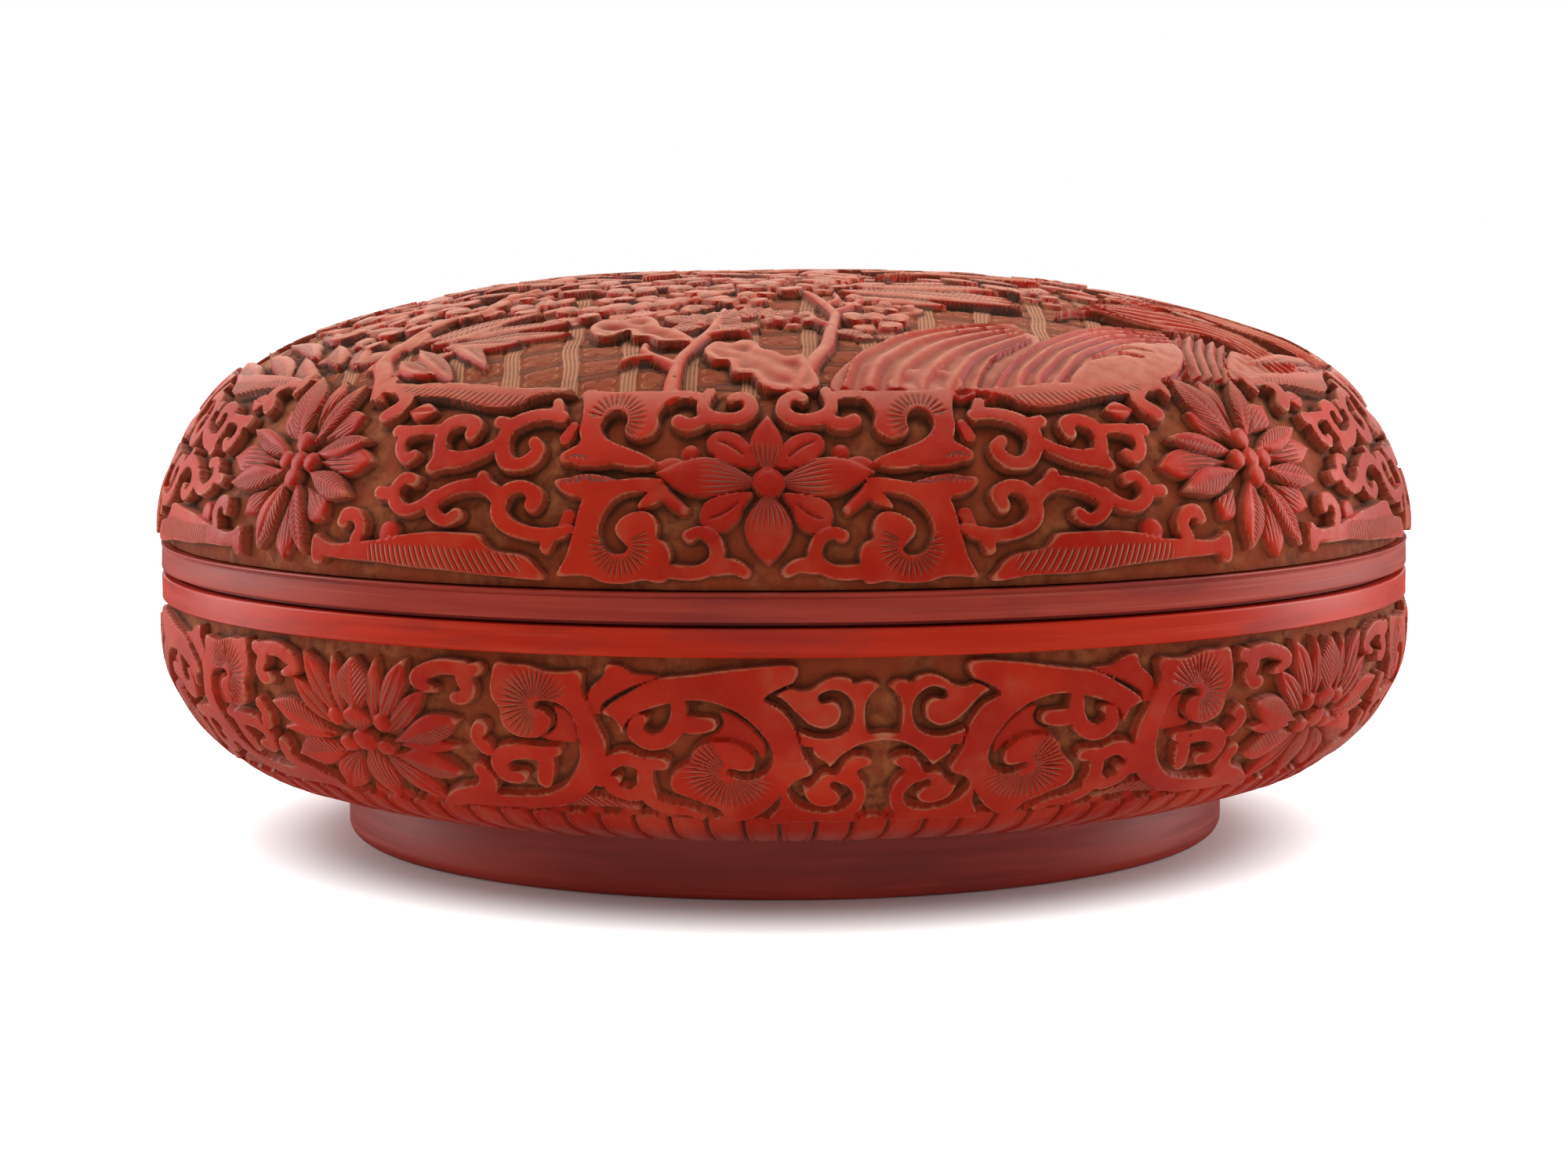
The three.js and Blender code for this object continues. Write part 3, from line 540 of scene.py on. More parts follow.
def base_upper_ruyi(relief):
    """The curled head under the hoop, with its cuts fanned round the curl."""
    plate(relief, [
        (51.6, 8), (54.6, 8.2), (58, 8.2), (62, 7.3), (65, 7.3), (67.6, 7), (68.3, 9.2), (68.6, 11.6),
        (68, 13.6), (66.8, 15), (66.6, 17.2), (65.4, 19), (63, 20), (60, 19.7), (57.9, 18), (57.3, 16.4),
        (58.4, 15.1), (60.3, 14.4), (59.8, 13.4), (56.6, 13.4), (54, 14.8), (52.8, 17.4), (51.6, 19.2),
        (49.4, 18.4), (50.1, 14.2), (51.4, 11.2)], FULL,
        rays=dict(centre=(60.2, 13.9), first=-165, last=85, inner=1.2, outer=7.4, count=24))
    plate(relief, [
        (53.4, 17), (54.8, 15), (57.2, 14.5), (56.6, 16.4), (57.4, 18.8), (60, 20.4), (56.4, 21.2),
        (53, 20.8)], 1.2)


def lotus(relief):
    """The large blossom between the scrolls, with x from its axis."""
    petal(relief, (0, 25), (0, 39), 3.6, 2, 0.5, "along", dip=0.6)
    for side in (-1, 1):
        petal(relief, (side * 3, 26.5), (side * 13.4, 37.8), 3.3, 2, 0.55, "fan", dip=0.6, crease=0.3)
        petal(relief, (side * 8, 24.3), (side * 22.4, 23.1), 1.4, 1.9, 0.5, "none", dip=0.3)
        petal(relief, (side * 5, 26.4), (side * 20.8, 28.9), 3.2, 2.3, 0.6, "half", dip=0.7)
        petal(relief, (side * 6.5, 23.8), (side * 23, 17.6), 2.7, 2.3, 0.6, "half", dip=0.7)
        petal(relief, (side * 6, 21.8), (side * 16.2, 12.6), 2.1, 2.1, 0.5, "along", dip=0.5, crease=0.4)
        petal(relief, (side * 4.4, 20.6), (side * 12.4, 7.4), 2.3, 2.3, 0.6, "along", dip=0.6, crease=0.3)
        petal(relief, (side * 3.4, 19.6), (side * 5.4, 7.4), 1.7, 2.1, 0.5, "along", dip=0.5)
        disc(relief, (side * 5.4, 19.6), 1.8, 2.3, 0.5)
        disc(relief, (side * 4.6, 25), 2.2, 2.35, 0.5, squash=0.7)
    petal(relief, (0, 19.6), (0, 7.6), 3.9, 2.4, 0.58, "feather", dip=0.6, crown=0.3)
    petal(relief, (0, 21.8), (0, 16.6), 3.4, 2.4, 0.5, "fan", dip=0.2)
    disc(relief, (0, 23.8), 2.8, 2.4, 0.45, squash=0.8)


def lappets(relief):
    """The row of petals that runs on under the belly, with small back petals in the gaps of their tops.

    The chart gives the distance from the axis of the nearest petal and the distance s down from the mouth.
    A petal's end is half an ellipse, rise mm high from s = start, and its sides run straight down from there
    with a gap between petals. A back petal is a point that widens from s = tip to a level edge at s = foot.
    """
    tip, start, foot, rise, gap = 35.6, 38.0, 39.6, 2.6, 0.42
    u, s = relief.chart
    spots = np.flatnonzero(s > 35)
    u, s = np.abs(u[spots]), s[spots]
    half = LAPPET_DEGREES * ARC / 2
    back = 0.62 * (s - tip) - (half - u)
    relief.lay(spots, np.minimum(np.minimum(back, s - tip) * 0.8, foot - s), 1.2)
    ring = np.clip((s - start) / rise, 0, 1)
    width = (half - gap) * np.sqrt(np.clip(1 - (1 - ring) ** 2, 0, 1))
    inside = np.where(s < start, s - start, (width - u) * np.where(ring < 1, 0.6 + 0.4 * ring, 1))
    rim = np.exp(-(((inside - 0.55) / 0.3) ** 2))
    bulge = 0.5 * (1 - (u / half) ** 2)
    relief.tint[spots[s > 39.0]] = 0.9
    relief.lay(spots, inside, 1.6 + bulge + 0.22 * rim - 0.25 * smooth(inside / 1.2))


def folds(relief, first, last, count, high=FULL, low=1.0, lead=0.72):
    """Folds of a hill or of cloud between two curves.

    The share across is the distance to the first curve over the sum of the distances to both. In each of the
    count folds the top rises from low to high over the share lead and falls back over the rest, with a crest
    on each curve. Folds narrower than 2.1 mm are shallower, down to none at 0.9 mm.
    """
    first, last = (spline(rows, steps=5) for rows in (first, last))
    ring = np.vstack([first, last[::-1]])
    spots, x, y = relief.around(ring, 1.5)
    near_first, near_last = (
        -stroke_inside(x, y, np.column_stack([rows, 0 * rows[:, 0]])) for rows in (first, last))
    span = np.maximum(near_first + near_last, 1e-6)
    part = (near_first / span * count + lead) % 1
    wave = smooth(np.minimum(part / lead, (1 - part) / (1 - lead)))
    depth = (high - low) * smooth((span / count - 0.9) / 1.2)
    relief.lay(spots, outline_inside(x, y, ring), high - depth * (1 - wave))


def blades(relief, rows, half_width, top=FULL, step=0.35):
    """Long leaves side by side. Each row is the base and the tip of a leaf."""
    for i, (ax, ay, bx, by) in enumerate(rows):
        petal(relief, (ax, ay), (bx, by), half_width, top - step * (i % 3), 0.45, "half", crown=0.5, dip=0.2,
              crease=0.3, bow=0.8 * math.sin(1.3 * i), sharp=0.8)


def bloom(relief, centre, radius, turn=0.0, count=6, height=FULL):
    """A full flower: flat round petals at two levels with gaps between them, and a boss."""
    for i in range(count):
        a = math.radians(turn) + 2 * math.pi * i / count
        way = np.array([math.cos(a), math.sin(a)]) * radius
        reach, drop, veins = (1.0, 0, "fan") if i % 2 == 0 else (0.9, 0.75, None)
        petal(relief, centre + way * 0.12, centre + way * reach, radius * 0.36, height - drop, 0.62, veins,
              crown=0.2, dip=0.5, sharp=0.6)
    disc(relief, centre, radius * 0.17, height + 0.05, 0.5)


def spray(relief, centre, angles, length, half_width=1.7, height=2.1, veins="feather"):
    """Leaves that fan out from one point, each in a direction given in degrees."""
    for i, angle in enumerate(angles):
        a = math.radians(angle)
        way = np.array([math.cos(a), math.sin(a)])
        reach = length * (0.85 + 0.15 * math.cos(i * 2.4))
        petal(relief, centre + way * 0.8, centre + way * reach, half_width, height - 0.25 * (i % 3), 0.6,
              veins, dip=0.4, crease=0.25, bow=0.35 * math.sin(i * 1.7), sharp=0.75)


def flowers(relief, places, leaf_turns, leaf_share, leaf_width, bloom_turn, drop):
    """Blooms with three leaves each; every row of places is x, y and radius.

    The angles turn on by fixed steps from bloom to bloom, and every third bloom is back at the full height.
    """
    for i, (x, y, radius) in enumerate(places):
        angles = [start + step * i for start, step in leaf_turns]
        spray(relief, (x, y), angles, radius * leaf_share, leaf_width, 1.5, "half")
        bloom(relief, (x, y), radius, bloom_turn * i, 5 + i % 2, FULL - drop * (i % 3))


def scatter(relief, low, high, pitch, seed, tilt=35.0, keep=0.85, edge=103):
    """Small flat leaves at three depths, one in each cell of a staggered grid, moved and turned at random.

    A leaf is left out at random, past the radius edge, and where the carving already stands high.
    """
    rng = np.random.default_rng(seed)
    for row, y in enumerate(np.arange(low[1], high[1], pitch * 0.62)):
        for x in np.arange(low[0] + (row % 2) * pitch / 2, high[0], pitch):
            dx, dy, turn, long, level, odds = rng.uniform(size=6)
            spot = np.array([x + (dx - 0.5) * pitch * 0.5, y + (dy - 0.5) * pitch * 0.4])
            here = relief.around([spot], 2)[0]
            if odds > keep or math.hypot(*spot) > edge or (here.size and relief.height[here].mean() > 1.2):
                continue
            a = math.radians((2 * turn - 1) * tilt + (180 if odds < keep / 2 else 0))
            way = 0.5 * (0.8 + 0.35 * long) * pitch * np.array([math.cos(a), math.sin(a)])
            height, veins = (2.4, 1.8, 1.2)[int(level * 3)], None if long < 0.5 else "half"
            petal(relief, spot - way, spot + way, (0.2 + 0.07 * dy) * pitch, height, 0.58, veins, crown=0.25,
                  dip=0.3, crease=0.2, bow=0.5 * dx, sharp=0.7)


def branch(relief, *shapes):
    """Round branches and trunks; a row of a shape is x, y and half width."""
    stroke(relief, *shapes, crown=0.7)


def dish(relief, rows, height=FULL, depth=1.2, reach=2.4):
    """A crumpled leaf or a stone: a plate with a sharp rim whose top sinks by depth towards its middle."""
    ring = spline(rows, closed=True, steps=5)
    spots, x, y = relief.around(ring, 1.5)
    inside = outline_inside(x, y, ring)
    fold = 0.5 + 0.5 * np.sin(0.75 * x + 1.1 * y + 1.2 * np.sin(0.4 * y))
    relief.lay(spots, inside, height - depth * smooth((inside - 0.5) / reach) * (0.35 + 0.65 * fold))


def front_trees(relief):
    """The two small trees, their leaves and the plants between them."""
    spray(relief, (-13.2, -82), (150, 117, 86, 60, 32, -10, -42, -160), 9.5, 2.3, 2.4)
    spray(relief, (-5, -77), (165, 110, 65, 20, -35), 8, 2.1, 2)
    branch(relief, [
        (-19.5, -109, 1.6), (-18.6, -103, 1.2), (-17.8, -98, 1.1), (-15.2, -92, 1.1), (-12.4, -85, 1.1),
        (-11.2, -78, 1), (-10.8, -73, 0.7)], [
        (-19, -101, 1.1), (-22.4, -97.6, 0.9), (-24.4, -94.4, 0.9), (-24.2, -91.6, 0.8)],
        [(-23, -97.4, 0.8), (-26.6, -97, 0.8), (-28.2, -98.2, 0.7)], [
        (-13.8, -88.6, 0.8), (-9.5, -86.6, 0.8), (-6.2, -87.2, 0.6)])
    dish(relief, [
        (-34.6, -79.4), (-33, -76.2), (-31.2, -75.8), (-29.4, -77.4), (-27.4, -76.4), (-24.2, -76.6),
        (-22.6, -79.6), (-21.6, -83.4), (-19.2, -85.2), (-16.6, -89.4), (-15.2, -92.6), (-18, -91.6),
        (-21.6, -91), (-23.6, -88), (-26.4, -86.6), (-27.4, -83.4), (-30.6, -85.6), (-33.4, -83.8)])
    dish(relief, [
        (-13.8, -96.6), (-11.6, -93), (-9, -94), (-6.8, -92.6), (-4.6, -94), (-3.6, -97), (-1.2, -98.6),
        (0.6, -100.6), (3.4, -99.8), (4.4, -103), (5.6, -109.4), (-2.6, -109.4), (-5.6, -105.6),
        (-8.6, -104.8), (-9.4, -101.4), (-12.2, -100.4)], 2.4, 1)
    branch(relief, [
        (2, -109.4, 1.8), (4.6, -102.4, 1.4), (7.2, -95.4, 1.3), (8.4, -88.6, 1.2), (8.8, -81.4, 1.1),
        (9.2, -74.4, 1), (7.4, -67.2, 0.9), (4, -59.6, 0.6)],
        [(8.6, -84, 0.9), (5.6, -80.6, 0.8), (4.8, -76.8, 0.6)],
        [(9.2, -75, 0.8), (12, -71.6, 0.7), (14.6, -66, 0.5)],
        [(8.2, -70, 0.7), (10.2, -66, 0.6), (9.6, -61.6, 0.5)])
    bloom(relief, (16.6, -79.4), 6.4, 20, 5)
    spray(relief, (15.4, -84), (205, 250, 330, 10), 6.5, 1.9, 1.8)
    bloom(relief, (2, -79), 4.2, 50, 5, 2.2)
    dish(relief, [
        (18, -107.6), (20.4, -103.6), (24.6, -101.4), (29.4, -101.2), (31.4, -104.6), (27, -107.4)], 2.1,
        0.5, 2)


def front_hills(relief):
    """Hills of folded rock at the right of the trees, the slab beside them and the falling water."""
    dish(relief, [
        (8.6, -109.4), (12, -99), (20.6, -88.8), (32, -80.4), (40, -76.4), (44.6, -76.6), (46, -80.4),
        (43.6, -88.6), (40.6, -97), (38, -104.6), (28, -107.6)], 1.3, 0.2)
    folds(relief, [
        (9.6, -109), (13, -98.6), (21.8, -87.2), (32.6, -79), (41.8, -75)], [
        (33, -106.6), (34.6, -100.6), (37, -94.6), (40.6, -88.4), (44.4, -82)], 5, 2.4, 1.35, 0.52)
    dish(relief, [
        (38.4, -104.4), (42, -94), (49.4, -80), (60, -66.4), (70.6, -60.4), (73.6, -61.6), (74, -72),
        (72.4, -79.6), (68, -86.4), (60, -92.4), (50, -98.6)], 1.2, 0.2)
    folds(relief, [
        (35.4, -105.8), (41.6, -92), (49.6, -77.4), (59.6, -66), (70, -60)], [
        (50.4, -98.4), (54.4, -88.2), (59.8, -78.4), (66.6, -71.4), (72.2, -67.6)], 4, 2.4, 1.35, 0.52)
    dish(relief, [
        (50.2, -97.2), (54, -88), (59.6, -78.6), (66.6, -71.6), (71.6, -68), (72.6, -74), (71, -80.6),
        (66.4, -86.9), (59, -92.9)], 2.4, 0.35, 6)
    for rows in (
            [(54, -88, 0.35), (60, -81.6, 0.5), (65, -79.6, 0.2)],
            [(57, -83.6, 0.3), (62, -77.6, 0.5), (67, -76, 0.2)]):
        channel(relief, rows, 0.6)
    folds(relief, [(73, -79.6), (72.6, -70.6), (72.8, -63), (73.2, -57.4)],
        [(81.4, -73.6), (81.2, -68), (81.4, -62), (82, -56.6)], 4, 2.3, 1.1, 0.5)
    dish(relief, [
        (81.6, -72.6), (82.4, -60.6), (84.6, -57.4), (89.4, -58.6), (90.6, -62), (86.4, -68)], 2, 0.4)


def side_clouds(relief, mirror=1, shift=0.0, turn=0.0):
    """Folded cloud along the side: each fold a long curved ledge that falls steeply to the next.

    The banks are drawn once, and turn, mirror and shift put them elsewhere.
    """
    c, s = math.cos(math.radians(turn)), math.sin(math.radians(turn))
    place = lambda rows: [(mirror * (c * x - s * y), s * x + c * y + shift) for x, y in rows]
    banks = [
        ([(50.5, -61), (58, -54), (70, -58), (80, -53), (88, -59), (92, -63)],
         [(59, -45), (67, -38), (76, -37), (86, -40), (94, -48), (101, -44)], 5),
        ([(60, -38), (70, -33), (80, -30), (90, -35), (103, -36)],
         [(66, -26), (74, -22), (84, -17), (94, -19), (107, -24)], 4),
        ([(66, -18), (76, -14), (86, -8), (96, -11), (109, -12)],
         [(73, -4), (81, -1), (88, 4), (98, 2), (110, 0)], 4),
        ([(72, 6), (79, 8), (88, 14), (98, 11), (109, 10)],
         [(74, 20), (80, 22), (90, 27), (98, 24), (106, 22)], 4)]
    for first, last, count in banks:
        folds(relief, place(first), place(last), count, FULL, *CLOUD_FOLDS)
    blades(relief, [(*place([(a, b)])[0], *place([(e, f)])[0]) for a, b, e, f in (
        (104, -30, 86, -62), (107, -20, 96, -52), (108, -8, 101, -38), (109, 6, 106, -24))], 1.7)


def left_bamboo(relief):
    """Bamboo and a bent branch at the left, with long leaves."""
    spray(relief, (-69, -70.5), (75, 104, 140, 168, 205), 11, 2.2, 1.9, "half")
    blades(relief, [
        (-66, -69, -44, -63), (-63, -71, -38.5, -72.5), (-62, -74, -38, -78.6), (-64, -72, -50, -66.4),
        (-60, -74, -47, -80.4)], 2.5, 2.4, 0.3)
    blades(relief, [
        (-66, -73, -58.6, -91), (-61, -72, -52.6, -89), (-72, -80, -58.6, -77.4), (-69, -76, -62.5, -86)],
        1.9, 2.2, 0.25)
    branch(relief, [
        (-73, -88, 1.5), (-71.6, -80, 1.7), (-72.6, -73, 1.6), (-69, -66, 1.5), (-66, -58, 1.1)], [
        (-66, -60, 1.2), (-62, -55, 1.1), (-56, -53, 1), (-53, -44, 1), (-47, -37, 0.8)])
    blades(relief, [
        (-82, -66, -83, -52), (-86, -68, -90, -50), (-79, -70, -77, -57), (-92, -60, -99, -34),
        (-88, -52, -96, -26), (-84, -46, -89, -22), (-100, -44, -106, -18)], 2)


def flower_band(relief):
    """The band of flowers and leaves behind the trees."""
    spots = [
        (-36.6, -66.5, 6), (-25.6, -68, 7.6), (-16, -62.6, 6.4), (-7, -66, 5), (-29, -54.5, 6.6),
        (-15.5, -51.5, 7), (-2, -54.5, 6.6), (7.6, -50, 5.6), (-45, -55, 6.4), (-58, -50, 7), (-70, -50, 7),
        (-79, -57, 5.6), (-64, -38.5, 6.6), (-48, -42, 6), (-77, -39, 6.4), (48, -43, 5.6), (14, -66.5, 4.6),
        (20.5, -69, 3.8), (-33, -42, 6.2), (-19, -39, 6), (-5, -41, 6), (9, -37, 5.8)]
    flowers(relief, spots, ((200, 31), (260, 17), (330, 23)), 1.4, 2.0, 29, 0.2)
    blades(relief, [
        (10, -58, 44, -60.5), (11, -56.4, 43.6, -56), (12, -54.4, 43, -51.6), (13, -52, 41, -47.2),
        (14, -50, 38, -43.4), (12, -60, 30, -64.4)], 2.6, 2.4, 0.3)


def hill_pine(relief, x, y, lean):
    """A pine: a bent trunk with flat fans of needles."""
    branch(relief, [
        (x, y, 2.4), (x + lean * 4, y + 10, 2.1), (x + lean * 1, y + 20, 1.9), (x + lean * 6, y + 30, 1.5),
        (x + lean * 12, y + 36, 1)])
    for i, (dx, dy) in enumerate(((4, 8), (-9, 15), (9, 19), (-6, 26), (13, 29), (2, 36), (17, 38))):
        cx, cy = (x + lean * dx, y + dy)
        branch(relief, [(x + lean * 3, y + dy - 4, 1.1), ((x + cx) / 2 + lean, cy - 2, 0.9), (cx, cy, 0.7)])
        plate(relief, [
            (cx - 7, cy), (cx - 4, cy + 4), (cx, cy + 5.5), (cx + 4, cy + 4), (cx + 7, cy),
            (cx + 3.5, cy - 1.6), (cx - 3.5, cy - 1.6)], (2.4, 1.9)[i % 2],
            rays=dict(centre=(cx, cy - 1), first=-12, last=192, inner=0.4, outer=8, count=21, depth=0.3))


def crown_scene(relief):
    """The part of the medallion that the photograph doesn't show: leaves, hills, pines and blossoms."""
    for first, last, count in (
            ([(18, -30), (28, -25), (38, -28), (50, -24)], [(22, -20), (30, -15), (39, -17), (49, -13)], 3),
            ([(-62, 88), (-48, 94), (-38, 98), (-24, 103)], [(-54, 76), (-42, 82), (-32, 86), (-22, 91)], 4)):
        folds(relief, first, last, count, FULL, 0.9, 0.36)
    hill_pine(relief, 6, -14, 1)
    hill_pine(relief, 34, 12, -1)
    hill_pine(relief, -44, -14, 1)
    spots = [
        (-88, -10, 6.6), (-90, 8, 6.4), (-83, -26, 6.6), (-66, -26, 7), (-56, -8, 6.6), (-72, -8, 7),
        (-64, 8, 6.8), (-74, 22, 7), (-58, 26, 6.4), (-22, 6, 6.4), (-30, 22, 6.8), (24, -2, 6.4),
        (56, 4, 6.8), (58, 20, 6.6), (50, 38, 6.8), (14, 46, 6.6), (28, 56, 6.8), (44, 58, 6.4),
        (-2, 58, 6.8), (-16, 46, 6.4), (-36, 44, 6.6), (-50, 50, 6.6), (-30, 60, 6.8), (-10, 74, 6.6),
        (10, 74, 6.8), (70, 40, 6.6), (-68, 42, 6.6), (66, 60, 6.4), (0, 92, 6.8), (-80, 40, 6), (82, 44, 6),
        (-70, 62, 6)]
    flowers(relief, spots, ((40, 47), (130, 47), (250, 47)), 1.6, 2.2, 37, 0.15)
    branch(relief, [(-10, 104, 1.6), (-12, 94, 1.4), (-4, 84, 1.3), (0, 76, 1)])
    scatter(relief, (-84, -44), (80, 98), 9, 5)


def diaper(relief):
    """The ground of the medallion: crossed hatched bands with a floret of four petals in every square.

    u and v run from the middle of the nearest upright and level band, p and q from the middle of the square,
    and a floret reaches 3.4 mm times the root of |sin| of twice the angle round that middle.
    """
    x, y = relief.chart
    cell, start = DIAPER_CELL, DIAPER_START
    u = (x + start[0] + 0.5 * cell[0]) % cell[0] - 0.5 * cell[0]
    v = (y + start[1] + 0.5 * cell[1]) % cell[1] - 0.5 * cell[1]
    upright, level = smooth((1.75 - np.abs(u)) / 0.35), smooth((0.95 - np.abs(v)) / 0.3)
    p, q = 0.5 * cell[0] - np.abs(u), 0.5 * cell[1] - np.abs(v)
    away = np.hypot(p, 1.35 * q)
    petals = 3.4 * np.sqrt(np.abs(np.sin(2 * np.arctan2(1.35 * q, p)))) + 0.3 - away
    floret = smooth(petals / 0.4 + 0.5)
    rim = smooth(1.2 - np.abs(petals - 0.2) / 0.6)
    relief.height += (
        0.22 + 0.25 * np.maximum(upright, 0.5 * level) + 0.22 * floret - 0.12 * level * (1 - upright))
    relief.phase = np.where(level * (1 - upright) > 0.5, y / 0.7, x / 0.72)
    relief.strength = np.maximum(0.7 * upright, level)
    relief.tint = np.where(upright > 0.5, upright, np.where(level > 0.3, 0, np.maximum(rim, 0) * 1.6 - 1))


def medallion(relief):
    """The garden on the dome, from the far plants to the near trees."""
    side_clouds(relief)
    side_clouds(relief, -1, 0.0, 40.0)
    side_clouds(relief, 1, 4.0, 58.0)
    for scene in (crown_scene, flower_band, left_bamboo, front_hills, front_trees):
        scene(relief)


class Outline:
    """A turned outline by its length s from the mouth: radius, height and outward normal."""

    def __init__(self, shares, radius, height, base):
        p = np.asarray(shares, float) * (radius, height)
        p = np.vstack([p[:1], p, p[-1:]])
        t = np.linspace(0, 1, 60, endpoint=False)[None, :, None]
        a, b, c, d = (p[i:len(p) - 3 + i, None, :] for i in range(4))
        v0, v1 = (c - a) * 0.5, (d - b) * 0.5
        curve = (2 * (b - c) + v0 + v1) * t**3 + (3 * (c - b) - 2 * v0 - v1) * t**2 + v0 * t + b
        curve = np.vstack([curve.reshape(-1, 2), p[-1:]])
        self.s = np.r_[0, np.cumsum(np.hypot(*np.diff(curve, axis=0).T))]
        self.r, self.z = curve[:, 0], curve[:, 1] + base
        dr, dz = np.gradient(self.r, self.s), np.gradient(self.z, self.s)
        side = 1 if height > 0 else -1
        long = np.hypot(dr, dz)
        self.nr, self.nz = side * dz / long, -side * dr / long

    def at(self, s):
        """Radius, height and the two parts of the normal at lengths s."""
        return tuple(np.interp(s, self.s, table) for table in (self.r, self.z, self.nr, self.nz))

    def length_at_radius(self, radius):
        """Length s where the outline, past its widest place, comes in to a radius."""
        widest = int(self.r.argmax())
        return np.interp(-np.asarray(radius, float), -self.r[widest:], self.s[widest:])


def wander(points, size, shortest, longest, count, seed):
    """Sum of count sine waves through space, with lengths in mm between shortest and longest."""
    rng = np.random.default_rng(seed)
    total = np.zeros(len(points))
    for _ in range(count):
        way = rng.normal(size=3)
        way *= 2 * math.pi / rng.uniform(shortest, longest) / np.linalg.norm(way)
        total += np.sin(points @ way + rng.uniform(0, 6.3))
    return size * total / math.sqrt(count)


def drift(spots, seed):
    """Drift of a chart by about 0.22 mm, in waves 12 to 30 mm long, as no two repeats are quite alike."""
    return wander(spots, 0.22, 12, 30, 6, seed)


def folded(degrees, s, axis):
    """Border charts of a place: the half period folded on the axis, and the whole one round each flower."""
    turn = (degrees - axis + 45) % 90 - 45
    other = (degrees - axis) % 90 - 45
    return (np.abs(turn) * ARC, s), (turn * ARC, s), (other * ARC, s)


def carve(relief, chart, *motifs):
    """Lays motifs on a relief, all on one chart."""
    relief.chart = chart
    for motif in motifs:
        motif(relief)


def lid_relief(degrees, s, spots):
    """The carving of the lid at angles and lengths s from the mouth: medallion first, then the border."""
    dx, dy = drift(spots, 3), drift(spots, 4)
    relief = Relief(degrees.size)
    inner = np.flatnonzero(s > GARDEN_FROM)
    if inner.size:
        part = relief.taken(inner, ((spots[:, 0] + dx)[inner], (spots[:, 1] + dy)[inner]))
        diaper(part)
        fade = smooth((s[inner] - GROUND_FROM) / 0.8)
        for values in (part.height, part.strength, part.tint):
            values *= fade
        medallion(part)
        relief.put(inner, part)
    outer = np.flatnonzero(s < BORDER_TO)
    if outer.size:
        fold, flower, blossom = folded(degrees[outer] + dx[outer] / ARC, s[outer] + dy[outer], LID_AXIS)
        part = relief.taken(outer, fold)
        carve(part, fold, small_curls, scrolls, edge_leaves, ruyi_leaves)
        carve(part, flower, flower_a)
        carve(part, blossom, blossom_b)
        relief.put(outer, part)
    return relief


def bowl_relief(degrees, s, spots):
    """The carving of the bowl: border under the hoop and the row of small petals over the foot."""
    dx, dy = drift(spots, 5), drift(spots, 6)
    relief = Relief(degrees.size)
    fold, _, other = folded(degrees + dx / ARC, s + dy, BOWL_AXIS)
    carve(relief, fold, base_scrolls, base_upper_ruyi, base_curls, base_ruyi)
    carve(relief, other, lotus)
    pitch = LAPPET_DEGREES
    across = ((degrees - BOWL_AXIS + pitch / 2) % pitch - pitch / 2) * ARC
    carve(relief, (across, s + 0.5 * dy), lappets)
    return relief


def carved_points(outline, degrees, s, relief, seed):
    """Points of the carved surface, in metres: the outline moved along its normal by the relief.

    Short and long waves of 0.05 mm roughen it, the short ones more on the ground than on the tops.
    """
    r, z, nr, nz = outline.at(s)
    a = np.radians(degrees)
    around = np.column_stack([np.sin(a), -np.cos(a)])
    flat = np.column_stack([around * r[:, None], z])
    top = np.clip(relief.height / FULL, 0, 1)
    rough = wander(flat, 0.05, 2.5, 7, 9, seed) * (1.3 - top) + wander(flat, 0.05, 9, 25, 5, seed + 1)
    move = np.minimum(relief.height + rough - FULL, 0)
    return np.column_stack([around * (r + nr * move)[:, None], z + nz * move]) * MM


def mesh_object(name, points, quads, values=None, uv=None):
    """A smooth mesh of quads over rows of points, with a float attribute for each entry of values."""
    mesh = bpy.data.meshes.new(name)
    mesh.vertices.add(len(points))
    mesh.vertices.foreach_set("co", np.ascontiguousarray(points, np.float32).ravel())
    mesh.loops.add(quads.size)
    mesh.loops.foreach_set("vertex_index", np.ascontiguousarray(quads, np.int32).ravel())
    mesh.polygons.add(len(quads))
    mesh.polygons.foreach_set("loop_start", np.arange(0, quads.size, 4, dtype=np.int32))
    mesh.polygons.foreach_set("use_smooth", np.ones(len(quads), bool))
    mesh.update(calc_edges=True)
    for key, value in (values or {}).items():
        layer = mesh.attributes.new(key, "FLOAT", "POINT")
        layer.data.foreach_set("value", np.ascontiguousarray(value, np.float32))
    if uv is not None:
        layer = mesh.uv_layers.new(name="OFBake")
        layer.uv.foreach_set("vector", np.ascontiguousarray(uv[quads.ravel()], np.float32).ravel())
    obj = bpy.data.objects.new(name, mesh)
    bpy.context.scene.collection.objects.link(obj)
    return obj


def finish_piece(obj, body, material, node):
    """Gives a piece its material and slot, hides the CAD node that it stands for and hangs it on the body
    that it rides on.
    """
    obj.data.materials.append(material)
    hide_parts(node)
    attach(obj, body)


def local_mean(grid, reach):
    """Mean over a square of reach cells each way, taken twice, from running sums along rows and columns."""
    for axis in (0, 1) * 2:
        pad = [(reach + 1, reach) if a == axis else (0, 0) for a in (0, 1)]
        total, size = np.cumsum(np.pad(grid, pad, mode="reflect"), axis), grid.shape[axis]
        ahead = np.take(total, np.arange(2 * reach + 1, 2 * reach + 1 + size), axis)
        grid = (ahead - np.take(total, np.arange(size), axis)) / (2 * reach + 1)
    return grid


